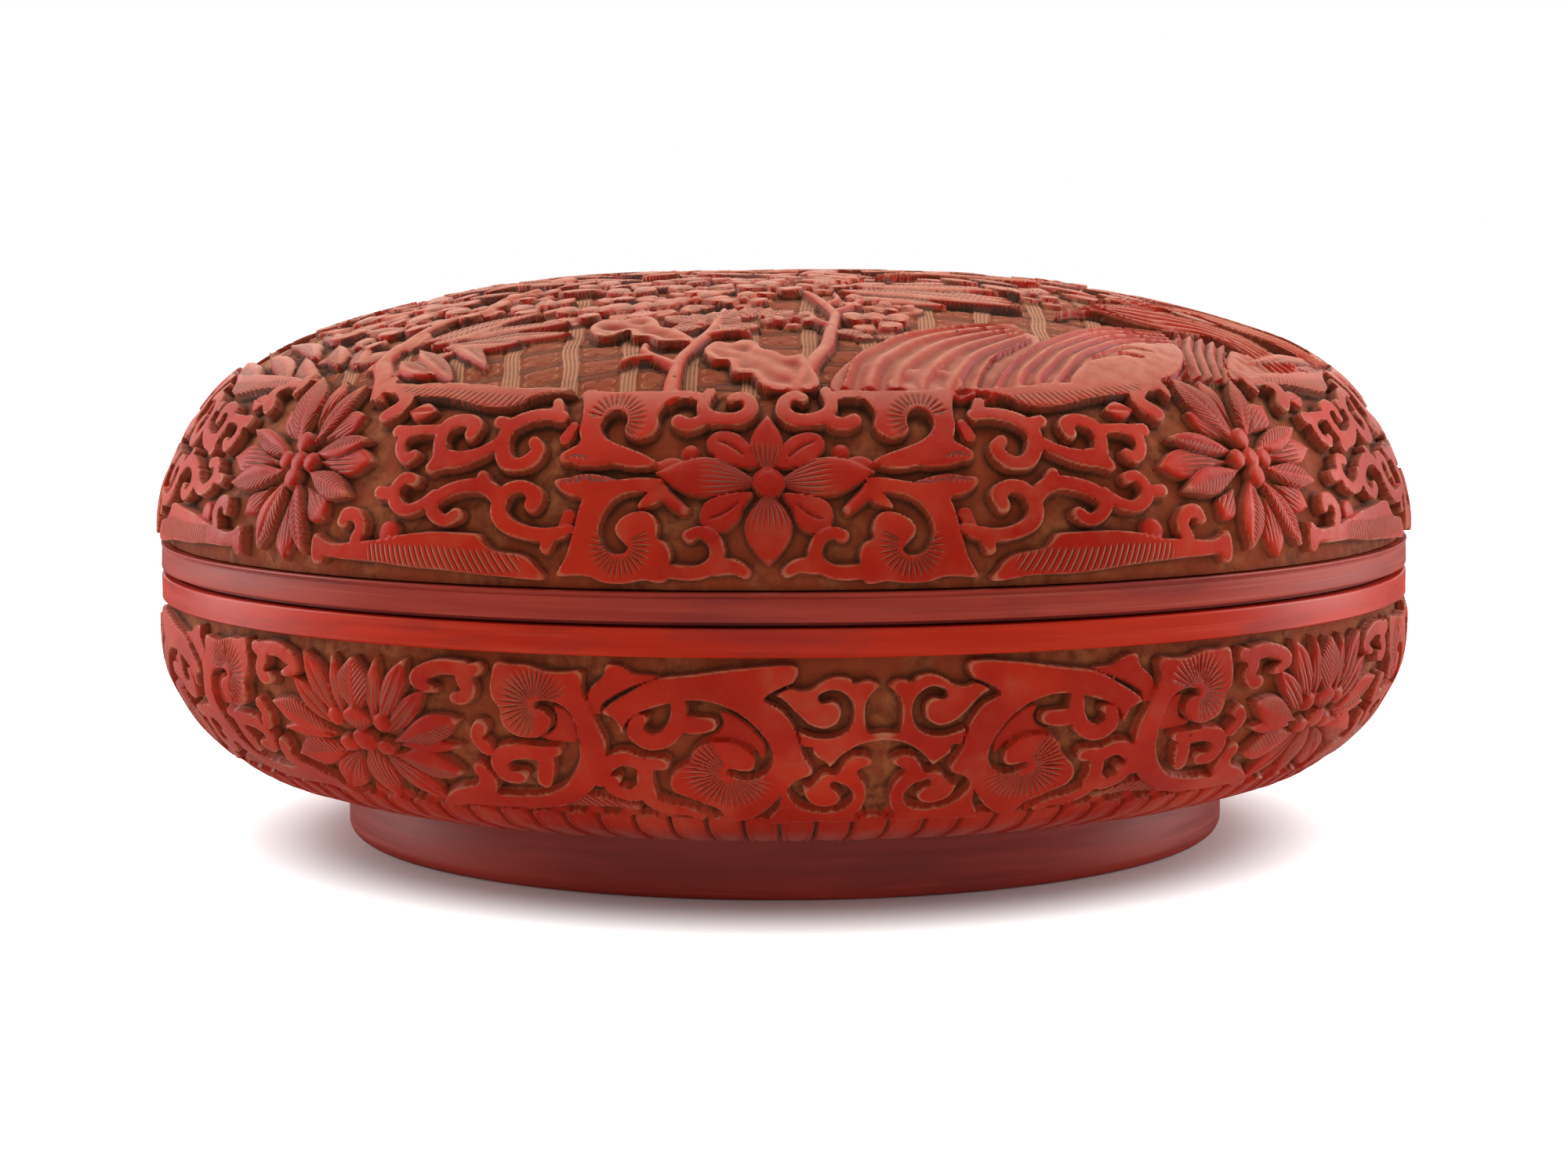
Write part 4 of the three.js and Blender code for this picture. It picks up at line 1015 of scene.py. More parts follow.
def steepness(height, spots):
    """Rise of the relief per mm: the differences of height along rows and columns over those of place."""
    total = np.zeros(height.shape)
    for axis in (0, 1):
        run = np.linalg.norm(np.gradient(spots, axis=axis), axis=-1)
        total += (np.gradient(height, axis=axis) / np.maximum(run, 0.02)) ** 2
    return np.sqrt(total)


def slope(grid, axis, turn=None):
    """Central difference along an axis; for angles in degrees, turn is the full circle that wraps."""
    step = np.gradient(grid, axis=axis)
    if turn:
        ahead, back = np.roll(grid, -1, axis), np.roll(grid, 1, axis)
        step = ((ahead - back + turn / 2) % turn - turn / 2) / 2
    return step


def drawn_to_edges(inside, degrees, s, spots, reach):
    """Moves grid points sideways on to the top and foot lines of the walls, so that outlines run clean.

    A point nearer than reach to an outline is moved along the slope of the distance by four fifths of what it
    lies off the line at half of reach, on its own side, and by 0.45 of a cell at most. The slope comes from
    the differences of the distance along rows and columns and from the lengths and angle of the two grid
    directions. The grid's rim stays, and so does what lies within 5 mm of the mouth.
    """
    across = [slope(spots, axis) for axis in (0, 1)]
    aa, ab, bb = (np.sum(across[i] * across[j], -1) for i, j in ((0, 0), (0, 1), (1, 1)))
    ga, gb = slope(inside, 0), slope(inside, 1)
    area = np.maximum(aa * bb - ab ** 2, 1e-9)
    da, db = (bb * ga - ab * gb) / area, (aa * gb - ab * ga) / area
    steep = ga * da + gb * db
    move = 0.8 * (np.where(inside < 0, -0.5, 0.5) * reach - inside) / np.maximum(steep, 0.3)
    move = np.where((np.abs(inside) < reach) & (steep > 0.4) & (s > 5), move, 0)
    move[[0, -1]] = move[:, [0, -1]] = 0
    da, db = (np.clip(move * d, -0.45, 0.45) for d in (da, db))
    return tuple(grid + da * slope(grid, 0, turn) + db * slope(grid, 1, turn)
                 for grid, turn in ((degrees, 360), (s, None)))


def carved_sheets(name, outline, relief_of, seed, degrees, s, blocks):
    """Splits one carved grid into sheets. degrees and s are rows x cols; blocks are row and column ranges.

    The relief is worked out twice, before and after the grid is drawn to the edges. cavity is how far a point
    lies under the mean height round it: positive at the foot of a wall and negative on a raised edge.
    """
    rows, cols = s.shape
    for drawn in (False, True):
        flat_r, flat_z, _, upward = outline.at(s.ravel())
        a = np.radians(degrees.ravel())
        spots = np.column_stack([np.sin(a) * flat_r, -np.cos(a) * flat_r, flat_z])
        relief = relief_of(degrees.ravel(), s.ravel(), spots)
        if not drawn:
            reach = WALL_RUN * 1
            degrees, s = drawn_to_edges(
                relief.inside.reshape(rows, cols), degrees, s, spots.reshape(rows, cols, 3), reach)
    points = carved_points(outline, degrees.ravel(), s.ravel(), relief, seed).reshape(rows, cols, 3)
    height = relief.height.reshape(rows, cols)
    values = {
        "relief": np.clip(relief.height / FULL, 0, 1), "upward": upward,
        "cut_phase": relief.phase, "cut_strength": relief.strength, "tint": relief.tint,
        "cavity": np.clip(local_mean(height, 2) - height, -2, 2),
        "steep": np.clip(steepness(height, spots.reshape(rows, cols, 3)), 0, 4)}
    sheets = []
    for number, (rows_cut, cols_cut) in enumerate(blocks, 1):
        block = points[rows_cut, cols_cut]
        shape = block.shape[:2]
        u, v = np.meshgrid(*(np.linspace(0.01, 0.99, count) for count in shape[::-1]))
        index = np.arange(shape[0] * shape[1]).reshape(shape)
        quads = np.stack([index[:-1, :-1], index[:-1, 1:], index[1:, 1:], index[1:, :-1]], -1).reshape(-1, 4)
        flat = block.reshape(-1, 3)
        first = flat[quads[:50]]
        normal = np.cross(first[:, 1] - first[:, 0], first[:, 2] - first[:, 0]).mean(0)
        if normal @ (first.mean((0, 1)) - BOX_MIDDLE) < 0:
            quads = quads[:, ::-1]
        part = {key: value.reshape(rows, cols)[rows_cut, cols_cut].ravel() for key, value in values.items()}
        sheet = mesh_object(f"{name}_{number}", flat, quads, part, np.column_stack([u.ravel(), v.ravel()]))
        sheet.data.set_sharp_from_angle(angle=math.radians(CARVING_ANGLE))
        sheets.append(sheet)
    return sheets


def turned_object(name, profile, segments=720):
    """A solid of revolution: the closed profile of (radius, height) in mm goes once round the Z axis."""
    p = np.asarray(profile, float)
    area = np.sum(p[:, 0] * np.roll(p[:, 1], -1) - np.roll(p[:, 0], -1) * p[:, 1])
    p = p[::-1] if area < 0 else p
    a = np.linspace(0, 2 * math.pi, segments, endpoint=False)
    points = np.stack([
        p[:, 0, None] * np.sin(a), -p[:, 0, None] * np.cos(a), p[:, 1, None] + 0 * a], -1).reshape(-1, 3) * MM
    count = len(p)
    i, j = np.arange(count)[:, None], np.arange(segments)[None, :]
    ring, after = i * segments, ((i + 1) % count) * segments
    quads = np.stack([
        ring + j, ring + (j + 1) % segments, after + (j + 1) % segments, after + j], -1).reshape(-1, 4)
    obj = mesh_object(name, points, quads)
    sharpen(obj)
    return obj


def sharpen(obj):
    """Marks the edges over TURNED_ANGLE, and merges points that share a place, such as on the axis."""
    bm = bmesh.new()
    bm.from_mesh(obj.data)
    bmesh.ops.remove_doubles(bm, verts=bm.verts, dist=1e-7)
    bmesh.ops.dissolve_degenerate(bm, edges=bm.edges, dist=1e-8)
    bmesh.ops.recalc_face_normals(bm, faces=bm.faces)
    for edge in bm.edges:
        edge.smooth = len(edge.link_faces) != 2 or edge.calc_face_angle(0) < math.radians(TURNED_ANGLE)
    bm.to_mesh(obj.data)
    bm.free()


# Materials.


class Nodes:
    """A short way to build a node tree: each call makes a node and links what it is given."""

    def __init__(self, name):
        self.material = bpy.data.materials.new(name)
        self.material.use_nodes = True
        self.tree = self.material.node_tree
        self.tree.nodes.clear()

    def fill(self, socket, value):
        """Links another node's output to a socket, or sets its value; None leaves it as it is."""
        if isinstance(value, bpy.types.NodeSocket):
            self.tree.links.new(value, socket)
        elif value is not None:
            socket.default_value = (*value[:3], 1) if socket.type == "RGBA" else value

    def __call__(self, kind, *inputs, out=0, named=None, **settings):
        node = self.tree.nodes.new("ShaderNode" + kind)
        for key, value in settings.items():
            setattr(node, key, value)
        for number, value in [*enumerate(inputs), *(named or {}).items()]:
            self.fill(node.inputs[number], value)
        return node.outputs[out]

    def math(self, operation, a, b=None):
        """A Math node."""
        return self("Math", a, b, operation=operation)

    def times(self, a, b):
        """a times b."""
        return self.math("MULTIPLY", a, b)

    def plus(self, a, b):
        """a plus b."""
        return self.math("ADD", a, b)

    def between(self, value, low, high, to_low=0.0, to_high=1.0):
        """Smooth step of value from low to high."""
        return self("MapRange", value, low, high, to_low, to_high, interpolation_type="SMOOTHSTEP")

    def blend(self, share, first, second):
        """first where share is 0, second where it is 1."""
        node = self.tree.nodes.new("ShaderNodeMix")
        node.data_type = "RGBA"
        for number, value in ((0, share), (6, first), (7, second)):
            self.fill(node.inputs[number], value)
        return node.outputs[2]

    def place(self, scale=None):
        """Object coordinates in metres, times scale."""
        coords = self("TexCoord", out=3)
        return self("Mapping", coords, None, None, scale) if scale else coords

    def noise(self, scale, detail=3.0, rough=0.55, coords=None):
        """Noise with so many waves per metre."""
        return self("TexNoise", coords or self.place(), None, scale, detail, rough)

    def attribute(self, name):
        """One of the float attributes of the carved sheets."""
        return self("Attribute", attribute_name=name, out=2)

    def surface(self, colour, roughness, bump=None, distance=1.0, **sockets):
        """Finishes the material; bump is a height in units of distance mm."""
        shader = self.tree.nodes.new("ShaderNodeBsdfPrincipled")
        normal = bump and self("Bump", named={"Strength": 1.0, "Distance": distance * MM, "Height": bump})
        for key, value in {"Base Color": colour, "Roughness": roughness, "Normal": normal, **sockets}.items():
            self.fill(shader.inputs[key], value)
        output = self.tree.nodes.new("ShaderNodeOutputMaterial")
        self.tree.links.new(shader.outputs[0], output.inputs[0])
        return self.material


def carved_lacquer(colours):
    """Red lacquer over a dusty brown ground, with fine cuts, worn edges and painted shade and highlights.

    relief splits tops from ground, tint tells the parts of the ground apart, steep and cavity find the walls,
    their crevices and the rubbed edges, and upward weighs the painted shade and the pale top layer from the
    foot to the dome. What faces up gets a pale layer that stands for dusty lacquer and a painted sheen; the
    walls and their crevices are darkened as painted shade, and each fine cut has a painted highlight on one
    flank and painted shade on the other.
    """
    n = Nodes("carved_red_lacquer")
    top = n.between(n.attribute("relief"), 0.2, 0.55)
    cavity, tint, upward = (n.attribute(name) for name in ("cavity", "tint", "upward"))
    broad, fine, grit = n.noise(38, 3), n.noise(420, 4, 0.6), n.noise(1500, 3, 0.65)
    patch = n.noise(75, 3, 0.6)

    # The red of the tops, with dull specks and greyish patches.
    red = n.blend(n.between(broad, 0.35, 0.68), colours.red_deep, colours.red_bright)
    red = n.blend(n.between(fine, 0.45, 0.75, 0, 0.28), red, colours.red_dull)
    dull = n.times(n.between(patch, 0.5, 0.68, 0, 0.35), n.between(fine, 0.3, 0.7, 0.5, 1))
    red = n.blend(dull, red, colours.dust)

    # The ground, where tint is -1 in the florets' hollows and up to 1 in the pale bands.
    soil = n.blend(n.between(fine, 0.3, 0.7), colours.ground_dark, colours.ground_light)
    soil = n.blend(n.between(patch, 0.38, 0.6, 0, 0.85), soil, colours.ground_red)
    soil = n.blend(n.between(tint, -1, -0.1, 0.8, 0), soil, colours.ground_red)
    soil = n.blend(n.between(tint, 0.1, 0.9, 0, 0.9), soil, colours.ground_tan)
    colour = n.blend(top, soil, red)

    # Dust and a painted sheen on what faces up, as one pale layer, by the true normal and by that of the
    # plain outline.
    normal_z = n("SeparateXYZ", n("NewGeometry", out=1), out=2)
    facing = n.plus(n.times(normal_z, 0.6), n.times(upward, 0.4))
    dust = n.times(n.between(facing, 0.6, 1.0, 0, 0.95), n.between(fine, 0.2, 0.75, 0.6, 1.0))
    colour = n.blend(n.times(dust, n.between(top, 0, 1, 0.12, 1.0)), colour, colours.film)

    # Walls darkened as painted shade, rubbed rims, and painted shade at the foot of the walls.
    wall = n.times(n.between(n.attribute("steep"), 1.7, 3.0, 0, 0.85), n.between(cavity, -1.1, -0.4))
    wall = n.times(wall, n.between(upward, -0.6, 0.3, 0.6, 1))
    painted_wall_shade = n.blend(n.between(upward, 0.3, 0.95, 0, 0.6), colours.wall, colours.crevice)
    colour = n.blend(wall, colour, painted_wall_shade)
    rim = n.times(n.between(cavity, -0.5, -0.9), n.between(n.noise(160, 2), 0.35, 0.65, 0.2, 0.6))
    colour = n.blend(rim, colour, colours.worn_edge)
    # Painted shade in the hollows at the foot of the walls, stronger where the outline faces up.
    deep = n.between(cavity, n.between(upward, 0.3, 0.9, 0.1, -0.2), 0.8)
    crevice = n.times(deep, n.between(n.noise(120, 3), 0.35, 0.6, 0.45, 0.85))
    crevice = n.times(crevice, n.between(upward, -0.4, 0.95, 0.5, 1.25))
    colour = n.blend(crevice, colour, colours.crevice)

    # Fine cuts: one groove for each whole phase, with a painted highlight on one side and painted shade on
    # the other.
    phase, strength = n.math("FRACT", n.attribute("cut_phase")), n.attribute("cut_strength")
    away = lambda middle, near, far: n.times(strength, n.between(
        n.math("ABSOLUTE", n.math("SUBTRACT", phase, middle)), near, far, 1, 0))
    groove = away(0.5, 0.02, 0.3)
    colour = n.blend(n.times(away(0.4, 0.06, 0.16), 0.5), colour, colours.worn_edge)
    colour = n.blend(n.times(away(0.62, 0.04, 0.13), 0.75), colour, colours.crevice)

    # Pinholes in a few cells of the tops.
    holes = n("TexVoronoi", n.place(), None, 210.0, feature="F1")
    pick = n("TexWhiteNoise", holes.node.outputs[2], noise_dimensions="3D")
    hole = n.times(n.times(n.between(holes, 0.03, 0.09, 1, 0), n.math("GREATER_THAN", pick, 0.93)), top)
    colour = n.blend(n.times(hole, 0.85), colour, PINHOLE)

    height = n.plus(n.times(groove, -0.3), n.times(n.noise(170, 2), 0.16))
    height = n.plus(height, n.times(fine, n.between(top, 0, 1, 0.3, 0.06)))
    height = n.plus(height, n.times(grit, n.between(top, 0, 1, 0.07, 0.02)))
    height = n.math("SUBTRACT", height, n.times(hole, 0.12))
    rough = n.plus(n.between(top, 0, 1, 0.8, 0.42), n.between(fine, 0.3, 0.7, -0.06, 0.08))
    return n.surface(colour, rough, height, **{
        "Specular IOR Level": 0.12, "Sheen Weight": 0.22, "Sheen Roughness": 0.35, "Sheen Tint": SHEEN})


def turned_lacquer(name, first, second, pale, rough, streak=1.0, coat=0.0, specular=0.5, smears=0.5):
    """Plain lacquer polished on the lathe, with thin level streaks, dark smears and a few rubbed places."""
    n = Nodes(name)
    thin = n.noise(1.0, 4, 0.6, n.place((14, 14, 1400)))
    band = n.noise(1.0, 3, 0.5, n.place((26, 26, 420)))
    colour = n.blend(n.between(band, 0.3, 0.7), first, second)
    colour = n.blend(n.between(thin, 0.52, 0.78, 0, 0.4 * streak), colour, pale)
    smear = n.times(n.between(n.noise(1.0, 3, 0.6, n.place((30, 30, 160))), 0.52, 0.7), smears)
    colour = n.blend(smear, colour, n.blend(0.6, colour, SMEAR))
    height = n.plus(n.times(thin, 0.03 * streak), n.times(n.noise(900, 3, 0.6), 0.012))
    height = n.plus(height, n.times(n.noise(60, 2), 0.1))
    roughness = n.plus(n.between(band, 0.3, 0.7, rough, rough + 0.1), n.between(thin, 0.4, 0.8, 0, 0.08))
    return n.surface(colour, roughness, height, **{
        "Coat Weight": coat, "Coat Roughness": 0.2, "Specular IOR Level": specular})


def bare_wood():
    """Turned softwood with growth rings across the grain."""
    n = Nodes("core_wood_grain")
    rings = n("TexWave", n.place((1, 1.6, 0.2)), 90.0, 3.0, 2.0, wave_type="BANDS", bands_direction="X",
              out=1)
    colour = n.blend(rings, (0.30, 0.17, 0.08), (0.42, 0.26, 0.13))
    colour = n.blend(n.between(n.noise(700, 3), 0.4, 0.7, 0, 0.4), colour, (0.2, 0.11, 0.05))
    return n.surface(colour, 0.7, n.noise(500, 3), 0.05)


# Settings that a user changes in the sidebar.


class CarvedBoxSizes(bpy.types.PropertyGroup):
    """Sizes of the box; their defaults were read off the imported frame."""

    body_radius: FloatProperty(
        name="Body radius", description="Radius over the carving at the widest place, in mm",
        default=125.9, min=40, max=400)
    mouth_height: FloatProperty(
        name="Mouth height", description="Height of the joint of the two halves, in mm",
        default=54.0, min=10, max=200)
    lid_rise: FloatProperty(
        name="Lid rise", description="Height of the lid over the joint, in mm",
        default=58.4, min=10, max=200)
    foot_height: FloatProperty(
        name="Foot height", description="Height of the foot under the bowl, in mm",
        default=11.6, min=2, max=60)
    columns: IntProperty(
        name="Columns", description="Columns of the carved grid round the box, a multiple of 8",
        default=FULL_COLUMNS, min=360, max=2880)


class CarvedBoxColours(bpy.types.PropertyGroup):
    """Colours of the lacquer, linear."""

    def swatch(label, text, value):
        """One colour of the sidebar."""
        return FloatVectorProperty(
            name=label, description=text, subtype="COLOR", size=3, default=value, min=0, max=1)

    red_deep: swatch("Deep red", "Carved lacquer where it is darkest", (0.36, 0.010, 0.002))
    red_bright: swatch("Bright red", "Carved lacquer where it is brightest", (0.50, 0.022, 0.005))
    red_dull: swatch("Dull red", "Matt specks in the carved lacquer", (0.39, 0.044, 0.012))
    dust: swatch("Dull patches", "Greyish patches of the red lacquer", (0.42, 0.085, 0.042))
    # Dust and a painted sheen: the pale layer on what faces up.
    film: swatch("Dust", "Film on the faces that look up", (0.68, 0.29, 0.195))
    # The worn edge colour is wear on the rims and a painted highlight on one flank of each fine cut.
    worn_edge: swatch("Worn edge", "Rubbed edges of the carving", (0.46, 0.20, 0.10))
    # The walls' colour is painted shade on the steep sides.
    wall: swatch("Walls", "Steep sides of the carving", (0.24, 0.044, 0.017))
    # Painted shade: the hollows by the walls, the upward walls and one flank of each fine cut.
    crevice: swatch("Crevices", "Soil at the foot of the walls and in the cuts", (0.065, 0.024, 0.009))
    ground_red: swatch("Red ground", "Recesses where the lacquer shows", (0.28, 0.044, 0.013))
    ground_tan: swatch("Pale ground", "Hatched bands of the medallion's ground", (0.55, 0.23, 0.12))
    ground_dark: swatch("Dark ground", "Recesses where they are darkest", (0.17, 0.034, 0.012))
    ground_light: swatch("Light ground", "Dusty recesses", (0.37, 0.108, 0.038))
    del swatch


class LACQUERBOX_OT_lid_carving(bpy.types.Operator):
    """Carves the lid: the border over the mouth and the medallion on the dome"""

    bl_idname = "lacquerbox.lid_carving"
    bl_label = "Lid carving"

    def execute(self, context):
        sizes, columns = context.scene.carved_box, grid_columns(context)
        lid = Outline(LID_OUTLINE, sizes.body_radius, sizes.lid_rise, sizes.mouth_height)
        material = carved_lacquer(context.scene.carved_box_colours)
        seam = float(lid.length_at_radius(SEAM_RADIUS))
        grid = ring_grid(np.linspace(LID_FROM, seam, grid_rows(LID_ROWS, columns) + 1), columns)
        sheets = carved_sheets("lid_border_carving", lid, lid_relief, 11, *grid)
        quarter = columns // 4
        side = np.linspace(-1, 1, quarter + 1)
        degrees, radius = disc_grid(*np.meshgrid(side, side))
        s = np.where(radius > 1 - 1e-9, seam, lid.length_at_radius(radius * SEAM_RADIUS))
        ways = (slice(0, quarter // 2 + 1), slice(quarter // 2, quarter + 1))
        blocks = [(up, across) for up in ways for across in ways]
        sheets += carved_sheets("lid_medallion_carving", lid, lid_relief, 11, degrees, s, blocks)
        for sheet in sheets:
            finish_piece(sheet, "lid", material, "lid_carved_lacquer")
        return {"FINISHED"}


def grid_columns(context):
    return context.scene.carved_box.columns // 1


def grid_rows(full, columns):
    """Rows of a grid that has full rows at FULL_COLUMNS, so that its cells keep their shape."""
    return max(int(full * columns / FULL_COLUMNS), FEWEST_ROWS)


def ring_grid(steps, columns):
    """A grid once round the box at lengths steps, as angles in degrees, lengths and its four quarters."""
    s = steps[:, None] + np.zeros(columns + 1)
    degrees = np.linspace(-45, 315, columns + 1)[None, :] + np.zeros((len(steps), 1))
    quarter = columns // 4
    return degrees, s, [(slice(None), slice(i * quarter, (i + 1) * quarter + 1)) for i in range(4)]


def disc_grid(a, b):
    """Angle in degrees and radius of a square grid laid on a disc.

    Each ring of the square, of half side m, becomes the circle of radius m, with its points at even angles.
    """
    m = np.maximum(np.abs(a), np.abs(b))
    safe = np.maximum(m, 1e-12)
    turn = np.where(
        np.abs(a) >= np.abs(b),
        np.where(a > 0, 45 * b / safe, 180 - 45 * b / safe),
        np.where(b > 0, 90 - 45 * a / safe, 270 + 45 * a / safe))
    return turn, m


class LACQUERBOX_OT_bowl_carving(bpy.types.Operator):
    """Carves the bowl: the border under the hoop and the row of small petals over the foot"""

    bl_idname = "lacquerbox.bowl_carving"
    bl_label = "Bowl carving"

    def execute(self, context):
        sizes, columns = context.scene.carved_box, grid_columns(context)
        mouth = sizes.mouth_height
        bowl = Outline(BOWL_OUTLINE, sizes.body_radius, sizes.foot_height - mouth, mouth)
        end = float(bowl.length_at_radius(BOWL_END_RADIUS))
        grid = ring_grid(np.r_[
            np.linspace(BOWL_FROM, LAPPET_FROM, grid_rows(BOWL_ROWS, columns) + 1),
            np.linspace(LAPPET_FROM, end, LAPPET_ROWS + 1)[1:]], columns)
        material = bpy.data.materials["carved_red_lacquer"]
        for sheet in carved_sheets("bowl_border_carving", bowl, bowl_relief, 21, *grid):
            finish_piece(sheet, "bowl", material, "bowl_carved_lacquer")
        return {"FINISHED"}


class LACQUERBOX_OT_hoops(bpy.types.Operator):
    """Turns the two mouth hoops and the collar that centres the lid"""

    bl_idname = "lacquerbox.hoops"
    bl_label = "Mouth hoops and collar"

    def execute(self, context):
        mouth = context.scene.carved_box.mouth_height
        outer, _, lid_top = (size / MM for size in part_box("lid_mouth_hoop")[1])
        low, high = (corner[2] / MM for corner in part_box("bowl_mouth_hoop"))
        (_, _, bottom), (collar, _, top) = (
            [size / MM for size in corner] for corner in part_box("lid_locating_collar"))
        lid_red = turned_lacquer(
            "lid_hoop_lacquer", (0.32, 0.023, 0.010), (0.41, 0.038, 0.018), (0.54, 0.13, 0.08), 0.42,
            specular=0.3)
        bowl_red = turned_lacquer(
            "bowl_hoop_lacquer", (0.46, 0.015, 0.001), (0.56, 0.024, 0.003), (0.62, 0.11, 0.06), 0.34,
            0.6, 0.05, 0.2, 0.55)
        black = turned_lacquer(
            "black_lacquer_satin", (0.012, 0.010, 0.009), (0.02, 0.016, 0.014), (0.05, 0.04, 0.035), 0.28)
        inner = collar + 1.0
        quarter = np.linspace(-math.pi / 2, 0, 7)
        cos, sin = np.cos(quarter), np.sin(quarter)
        lid_hoop = turned_object("lid_hoop_red_lacquer", [
            (inner, mouth), (outer - 2.0, mouth), (outer - 1.9, mouth + 0.7),
            *zip(outer - 0.4 + 0.4 * cos, mouth + 1.1 + 0.4 * sin),
            (outer - 0.05, mouth + 2.5), (outer - 0.12, lid_top - 1.05), (outer - 0.3, lid_top - 0.85),
            (outer - 0.28, lid_top - 0.6), (outer, lid_top - 0.45), (outer + 0.05, lid_top - 0.2),
            (outer - 0.1, lid_top), (inner, lid_top)])
        finish_piece(lid_hoop, "lid", lid_red, "lid_mouth_hoop")
        bowl_hoop = turned_object("bowl_hoop_red_lacquer", [
            (inner - 0.6, low), (outer - 0.2, low), (outer, low + 0.2), (outer - 0.04, low + 1.0),
            *zip(outer - 0.54 + 0.5 * cos[::-1], high - 0.5 - 0.5 * sin[::-1]), (inner - 0.6, high)])
        finish_piece(bowl_hoop, "bowl", bowl_red, "bowl_mouth_hoop")
        ring = turned_object("collar_black_lacquer", [
            (collar - 2.5, bottom), (collar, bottom), (collar, top - 0.6), (collar - 0.15, top - 0.2),
            (collar - 0.5, top), (collar - 2.0, top), (collar - 2.35, top - 0.2), (collar - 2.5, top - 0.6)])
        finish_piece(ring, "bowl", black, "lid_locating_collar")
        return {"FINISHED"}


class LACQUERBOX_OT_linings(bpy.types.Operator):
    """Lines both halves with black lacquer, and gives the hidden cores their wood"""

    bl_idname = "lacquerbox.linings"
    bl_label = "Linings and cores"

    def execute(self, context):
        black = bpy.data.materials["black_lacquer_satin"]
        for name, node, body, profile in (
                ("lid_lining_black_lacquer", "lid_black_lining", "lid", LID_LINING),
                ("bowl_lining_black_lacquer", "bowl_black_lining", "bowl", BOWL_LINING),
                ("foot_recess_black_lacquer", "foot_well_lining", "bowl", FOOT_RECESS)):
            finish_piece(turned_object(name, profile, 360), body, black, node)
        wood = bare_wood()
        for node in ("lid_wood_core", "bowl_wood_core"):
            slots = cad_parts[node].data.materials
            slots.clear()
            slots.append(wood)
        return {"FINISHED"}


class LACQUERBOX_OT_foot(bpy.types.Operator):
    """Turns the foot ring with its rounded lower edge"""

    bl_idname = "lacquerbox.foot"
    bl_label = "Foot ring"

    def execute(self, context):
        belly, _, top = (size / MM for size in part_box("foot_ring")[1])
        waist = belly - 0.4
        inner = waist - 7.5
        a = np.linspace(-math.pi / 2, 0, 10)
        edge = np.column_stack([belly - 2.6 + 2.6 * np.cos(a), 2.6 + 2.6 * np.sin(a)])
        b = np.linspace(math.pi, 1.5 * math.pi, 6)
        hollow = np.column_stack([inner + 1.2 + 1.2 * np.cos(b), 1.2 + 1.2 * np.sin(b)])
        rise = [(belly, 5.0), (belly - 0.12, 8.0), (belly - 0.35, 10.6), (waist, top), (inner, top)]
        ring = turned_object("foot_ring_maroon_lacquer", [*hollow, *edge, *rise])
        maroon = turned_lacquer(
            "foot_maroon_lacquer", (0.33, 0.024, 0.012), (0.43, 0.036, 0.018), (0.48, 0.10, 0.075), 0.36,
            0.8, 0.15)
        finish_piece(ring, "bowl", maroon, "foot_ring")
        return {"FINISHED"}


class LACQUERBOX_OT_stage(bpy.types.Operator):
    """Sets the pale floor, the soft lights and the camera"""

    bl_idname = "lacquerbox.stage"
    bl_label = "Stage"

    def execute(self, context):
        scene = context.scene
        half = FLOOR_HALF
        corners = np.array([(-half, -half, 0), (half, -half, 0), (half, half, 0), (-half, half, 0)])
        floor = mesh_object("pale_floor", corners, np.array([[0, 1, 2, 3]]))
        floor.data.materials.append(floor_paper())
        scene.world = plain_studio()
        for name, place, size, power in SOFTBOXES:
            light = bpy.data.lights.new(name, "AREA")
            light.shape, light.size, light.size_y, light.energy = "RECTANGLE", *size, power
            lamp = bpy.data.objects.new(name, light)
            lamp.location, lamp.visible_camera = place, False
            lamp.rotation_euler = (Vector(LIGHT_TARGET) - Vector(place)).to_track_quat("-Z", "Y").to_euler()
            scene.collection.objects.link(lamp)
        camera = bpy.data.cameras.new("photo_view")
        camera.sensor_width, camera.lens = SENSOR_WIDTH, LENS
        eye = bpy.data.objects.new("photo_view", camera)
        eye.matrix_world = (
            Matrix.Translation(EYE) @ Matrix.Rotation(math.radians(90 - LOOK_DOWN), 4, "X")
            @ Matrix.Rotation(ROLL, 4, "Z"))
        scene.collection.objects.link(eye)
        scene.camera = eye
        scene.view_settings.view_transform = "Standard"
        return {"FINISHED"}


def floor_paper():
    """Pale paper that the camera sees as white round the box, and that throws little light at its sides.

    For the camera its emission is low under and round the foot, which paints the shadow there, and for
    diffuse rays it glows faintly as a painted light on the box from below.
    """
    n = Nodes("pale_floor_paper")
    paper = n.blend(n.between(n.noise(3, 2), 0.3, 0.7), (0.83, 0.89, 0.89), (0.86, 0.92, 0.92))
    middle = n("VectorMath", n.place(), (0, 0.004, 0), operation="ADD")
    # Emission for the camera, low under and round the foot: a painted shadow.
    glow_with_painted_shadow = n.between(n("VectorMath", middle, operation="LENGTH", out=1), 0.087, 0.126, 0.02, 1.0)
    seen, diffuse, glossy = (n("LightPath", out=number) for number in (0, 2, 3))
    thrown = n.blend(glossy, (0.92, 0.92, 0.92), (0.12, 0.12, 0.12))
    return n.surface(n.blend(seen, thrown, paper), 0.9, n.noise(900, 2), 0.02, **{
        "Emission Color": (1, 1, 1), "Emission Strength": n.plus(n.times(glow_with_painted_shadow, seen), n.times(diffuse, 0.1))})


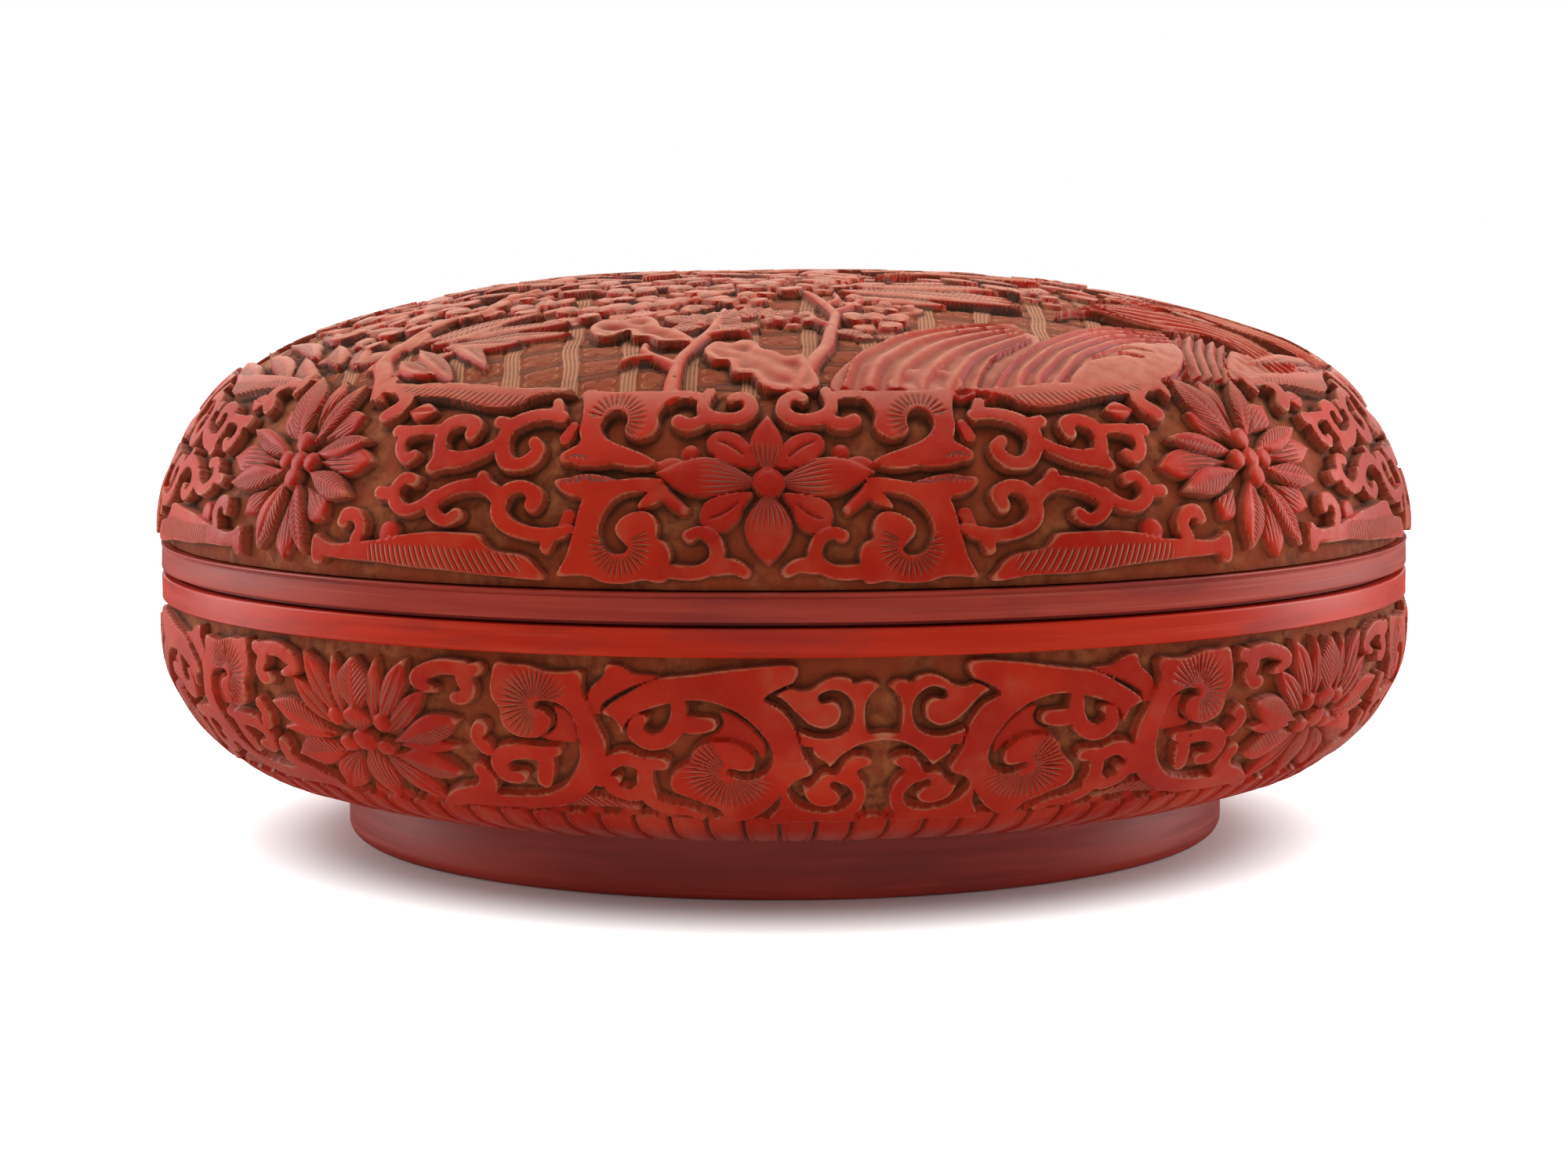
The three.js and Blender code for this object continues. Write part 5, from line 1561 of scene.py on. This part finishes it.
def plain_studio():
    """A white world, at full strength for the camera and at SKY_POWER for everything else."""
    world = bpy.data.worlds.new("studio")
    world.use_nodes = True
    nodes, link = world.node_tree.nodes, world.node_tree.links.new
    sky, seen = nodes["Background"], nodes.new("ShaderNodeBackground")
    for background, power in ((sky, SKY_POWER), (seen, 1.0)):
        background.inputs[0].default_value, background.inputs[1].default_value = (1, 1, 1, 1), power
    mix, path = nodes.new("ShaderNodeMixShader"), nodes.new("ShaderNodeLightPath")
    for number, output in enumerate((path.outputs["Is Camera Ray"], sky.outputs[0], seen.outputs[0])):
        link(output, mix.inputs[number])
    link(mix.outputs[0], nodes["World Output"].inputs[0])
    return world


STEPS = (
    LACQUERBOX_OT_lid_carving, LACQUERBOX_OT_bowl_carving, LACQUERBOX_OT_hoops, LACQUERBOX_OT_linings,
    LACQUERBOX_OT_foot, LACQUERBOX_OT_stage)


class LACQUERBOX_PT_sidebar(bpy.types.Panel):
    """Sidebar with the sizes, the colours and one button for each group of pieces"""

    bl_idname = "LACQUERBOX_PT_sidebar"
    bl_label = "Carved lacquer box"
    bl_space_type = "VIEW_3D"
    bl_region_type = "UI"
    bl_category = "Carved box"

    def draw(self, context):
        for group in (context.scene.carved_box, context.scene.carved_box_colours):
            for key in group.bl_rna.properties.keys():
                if key not in {"rna_type", "name"}:
                    self.layout.prop(group, key)
        for step in STEPS:
            self.layout.operator(step.bl_idname, text=step.bl_label)


CLASSES = (CarvedBoxSizes, CarvedBoxColours, *STEPS, LACQUERBOX_PT_sidebar)


def register():
    """Registers the classes, and hangs the settings on the scene."""
    for item in CLASSES:
        bpy.utils.register_class(item)
    bpy.types.Scene.carved_box = PointerProperty(type=CarvedBoxSizes)
    bpy.types.Scene.carved_box_colours = PointerProperty(type=CarvedBoxColours)


def unregister():
    """Undoes register."""
    del bpy.types.Scene.carved_box_colours
    del bpy.types.Scene.carved_box
    for item in reversed(CLASSES):
        bpy.utils.unregister_class(item)


def main():
    """Registers the classes and builds every piece in order."""
    register()
    for step in STEPS:
        group, name = step.bl_idname.split(".")
        if getattr(getattr(bpy.ops, group), name)() != {"FINISHED"}:
            raise RuntimeError(f"{step.bl_label} didn't finish")


if __name__ == "__main__":
    main()
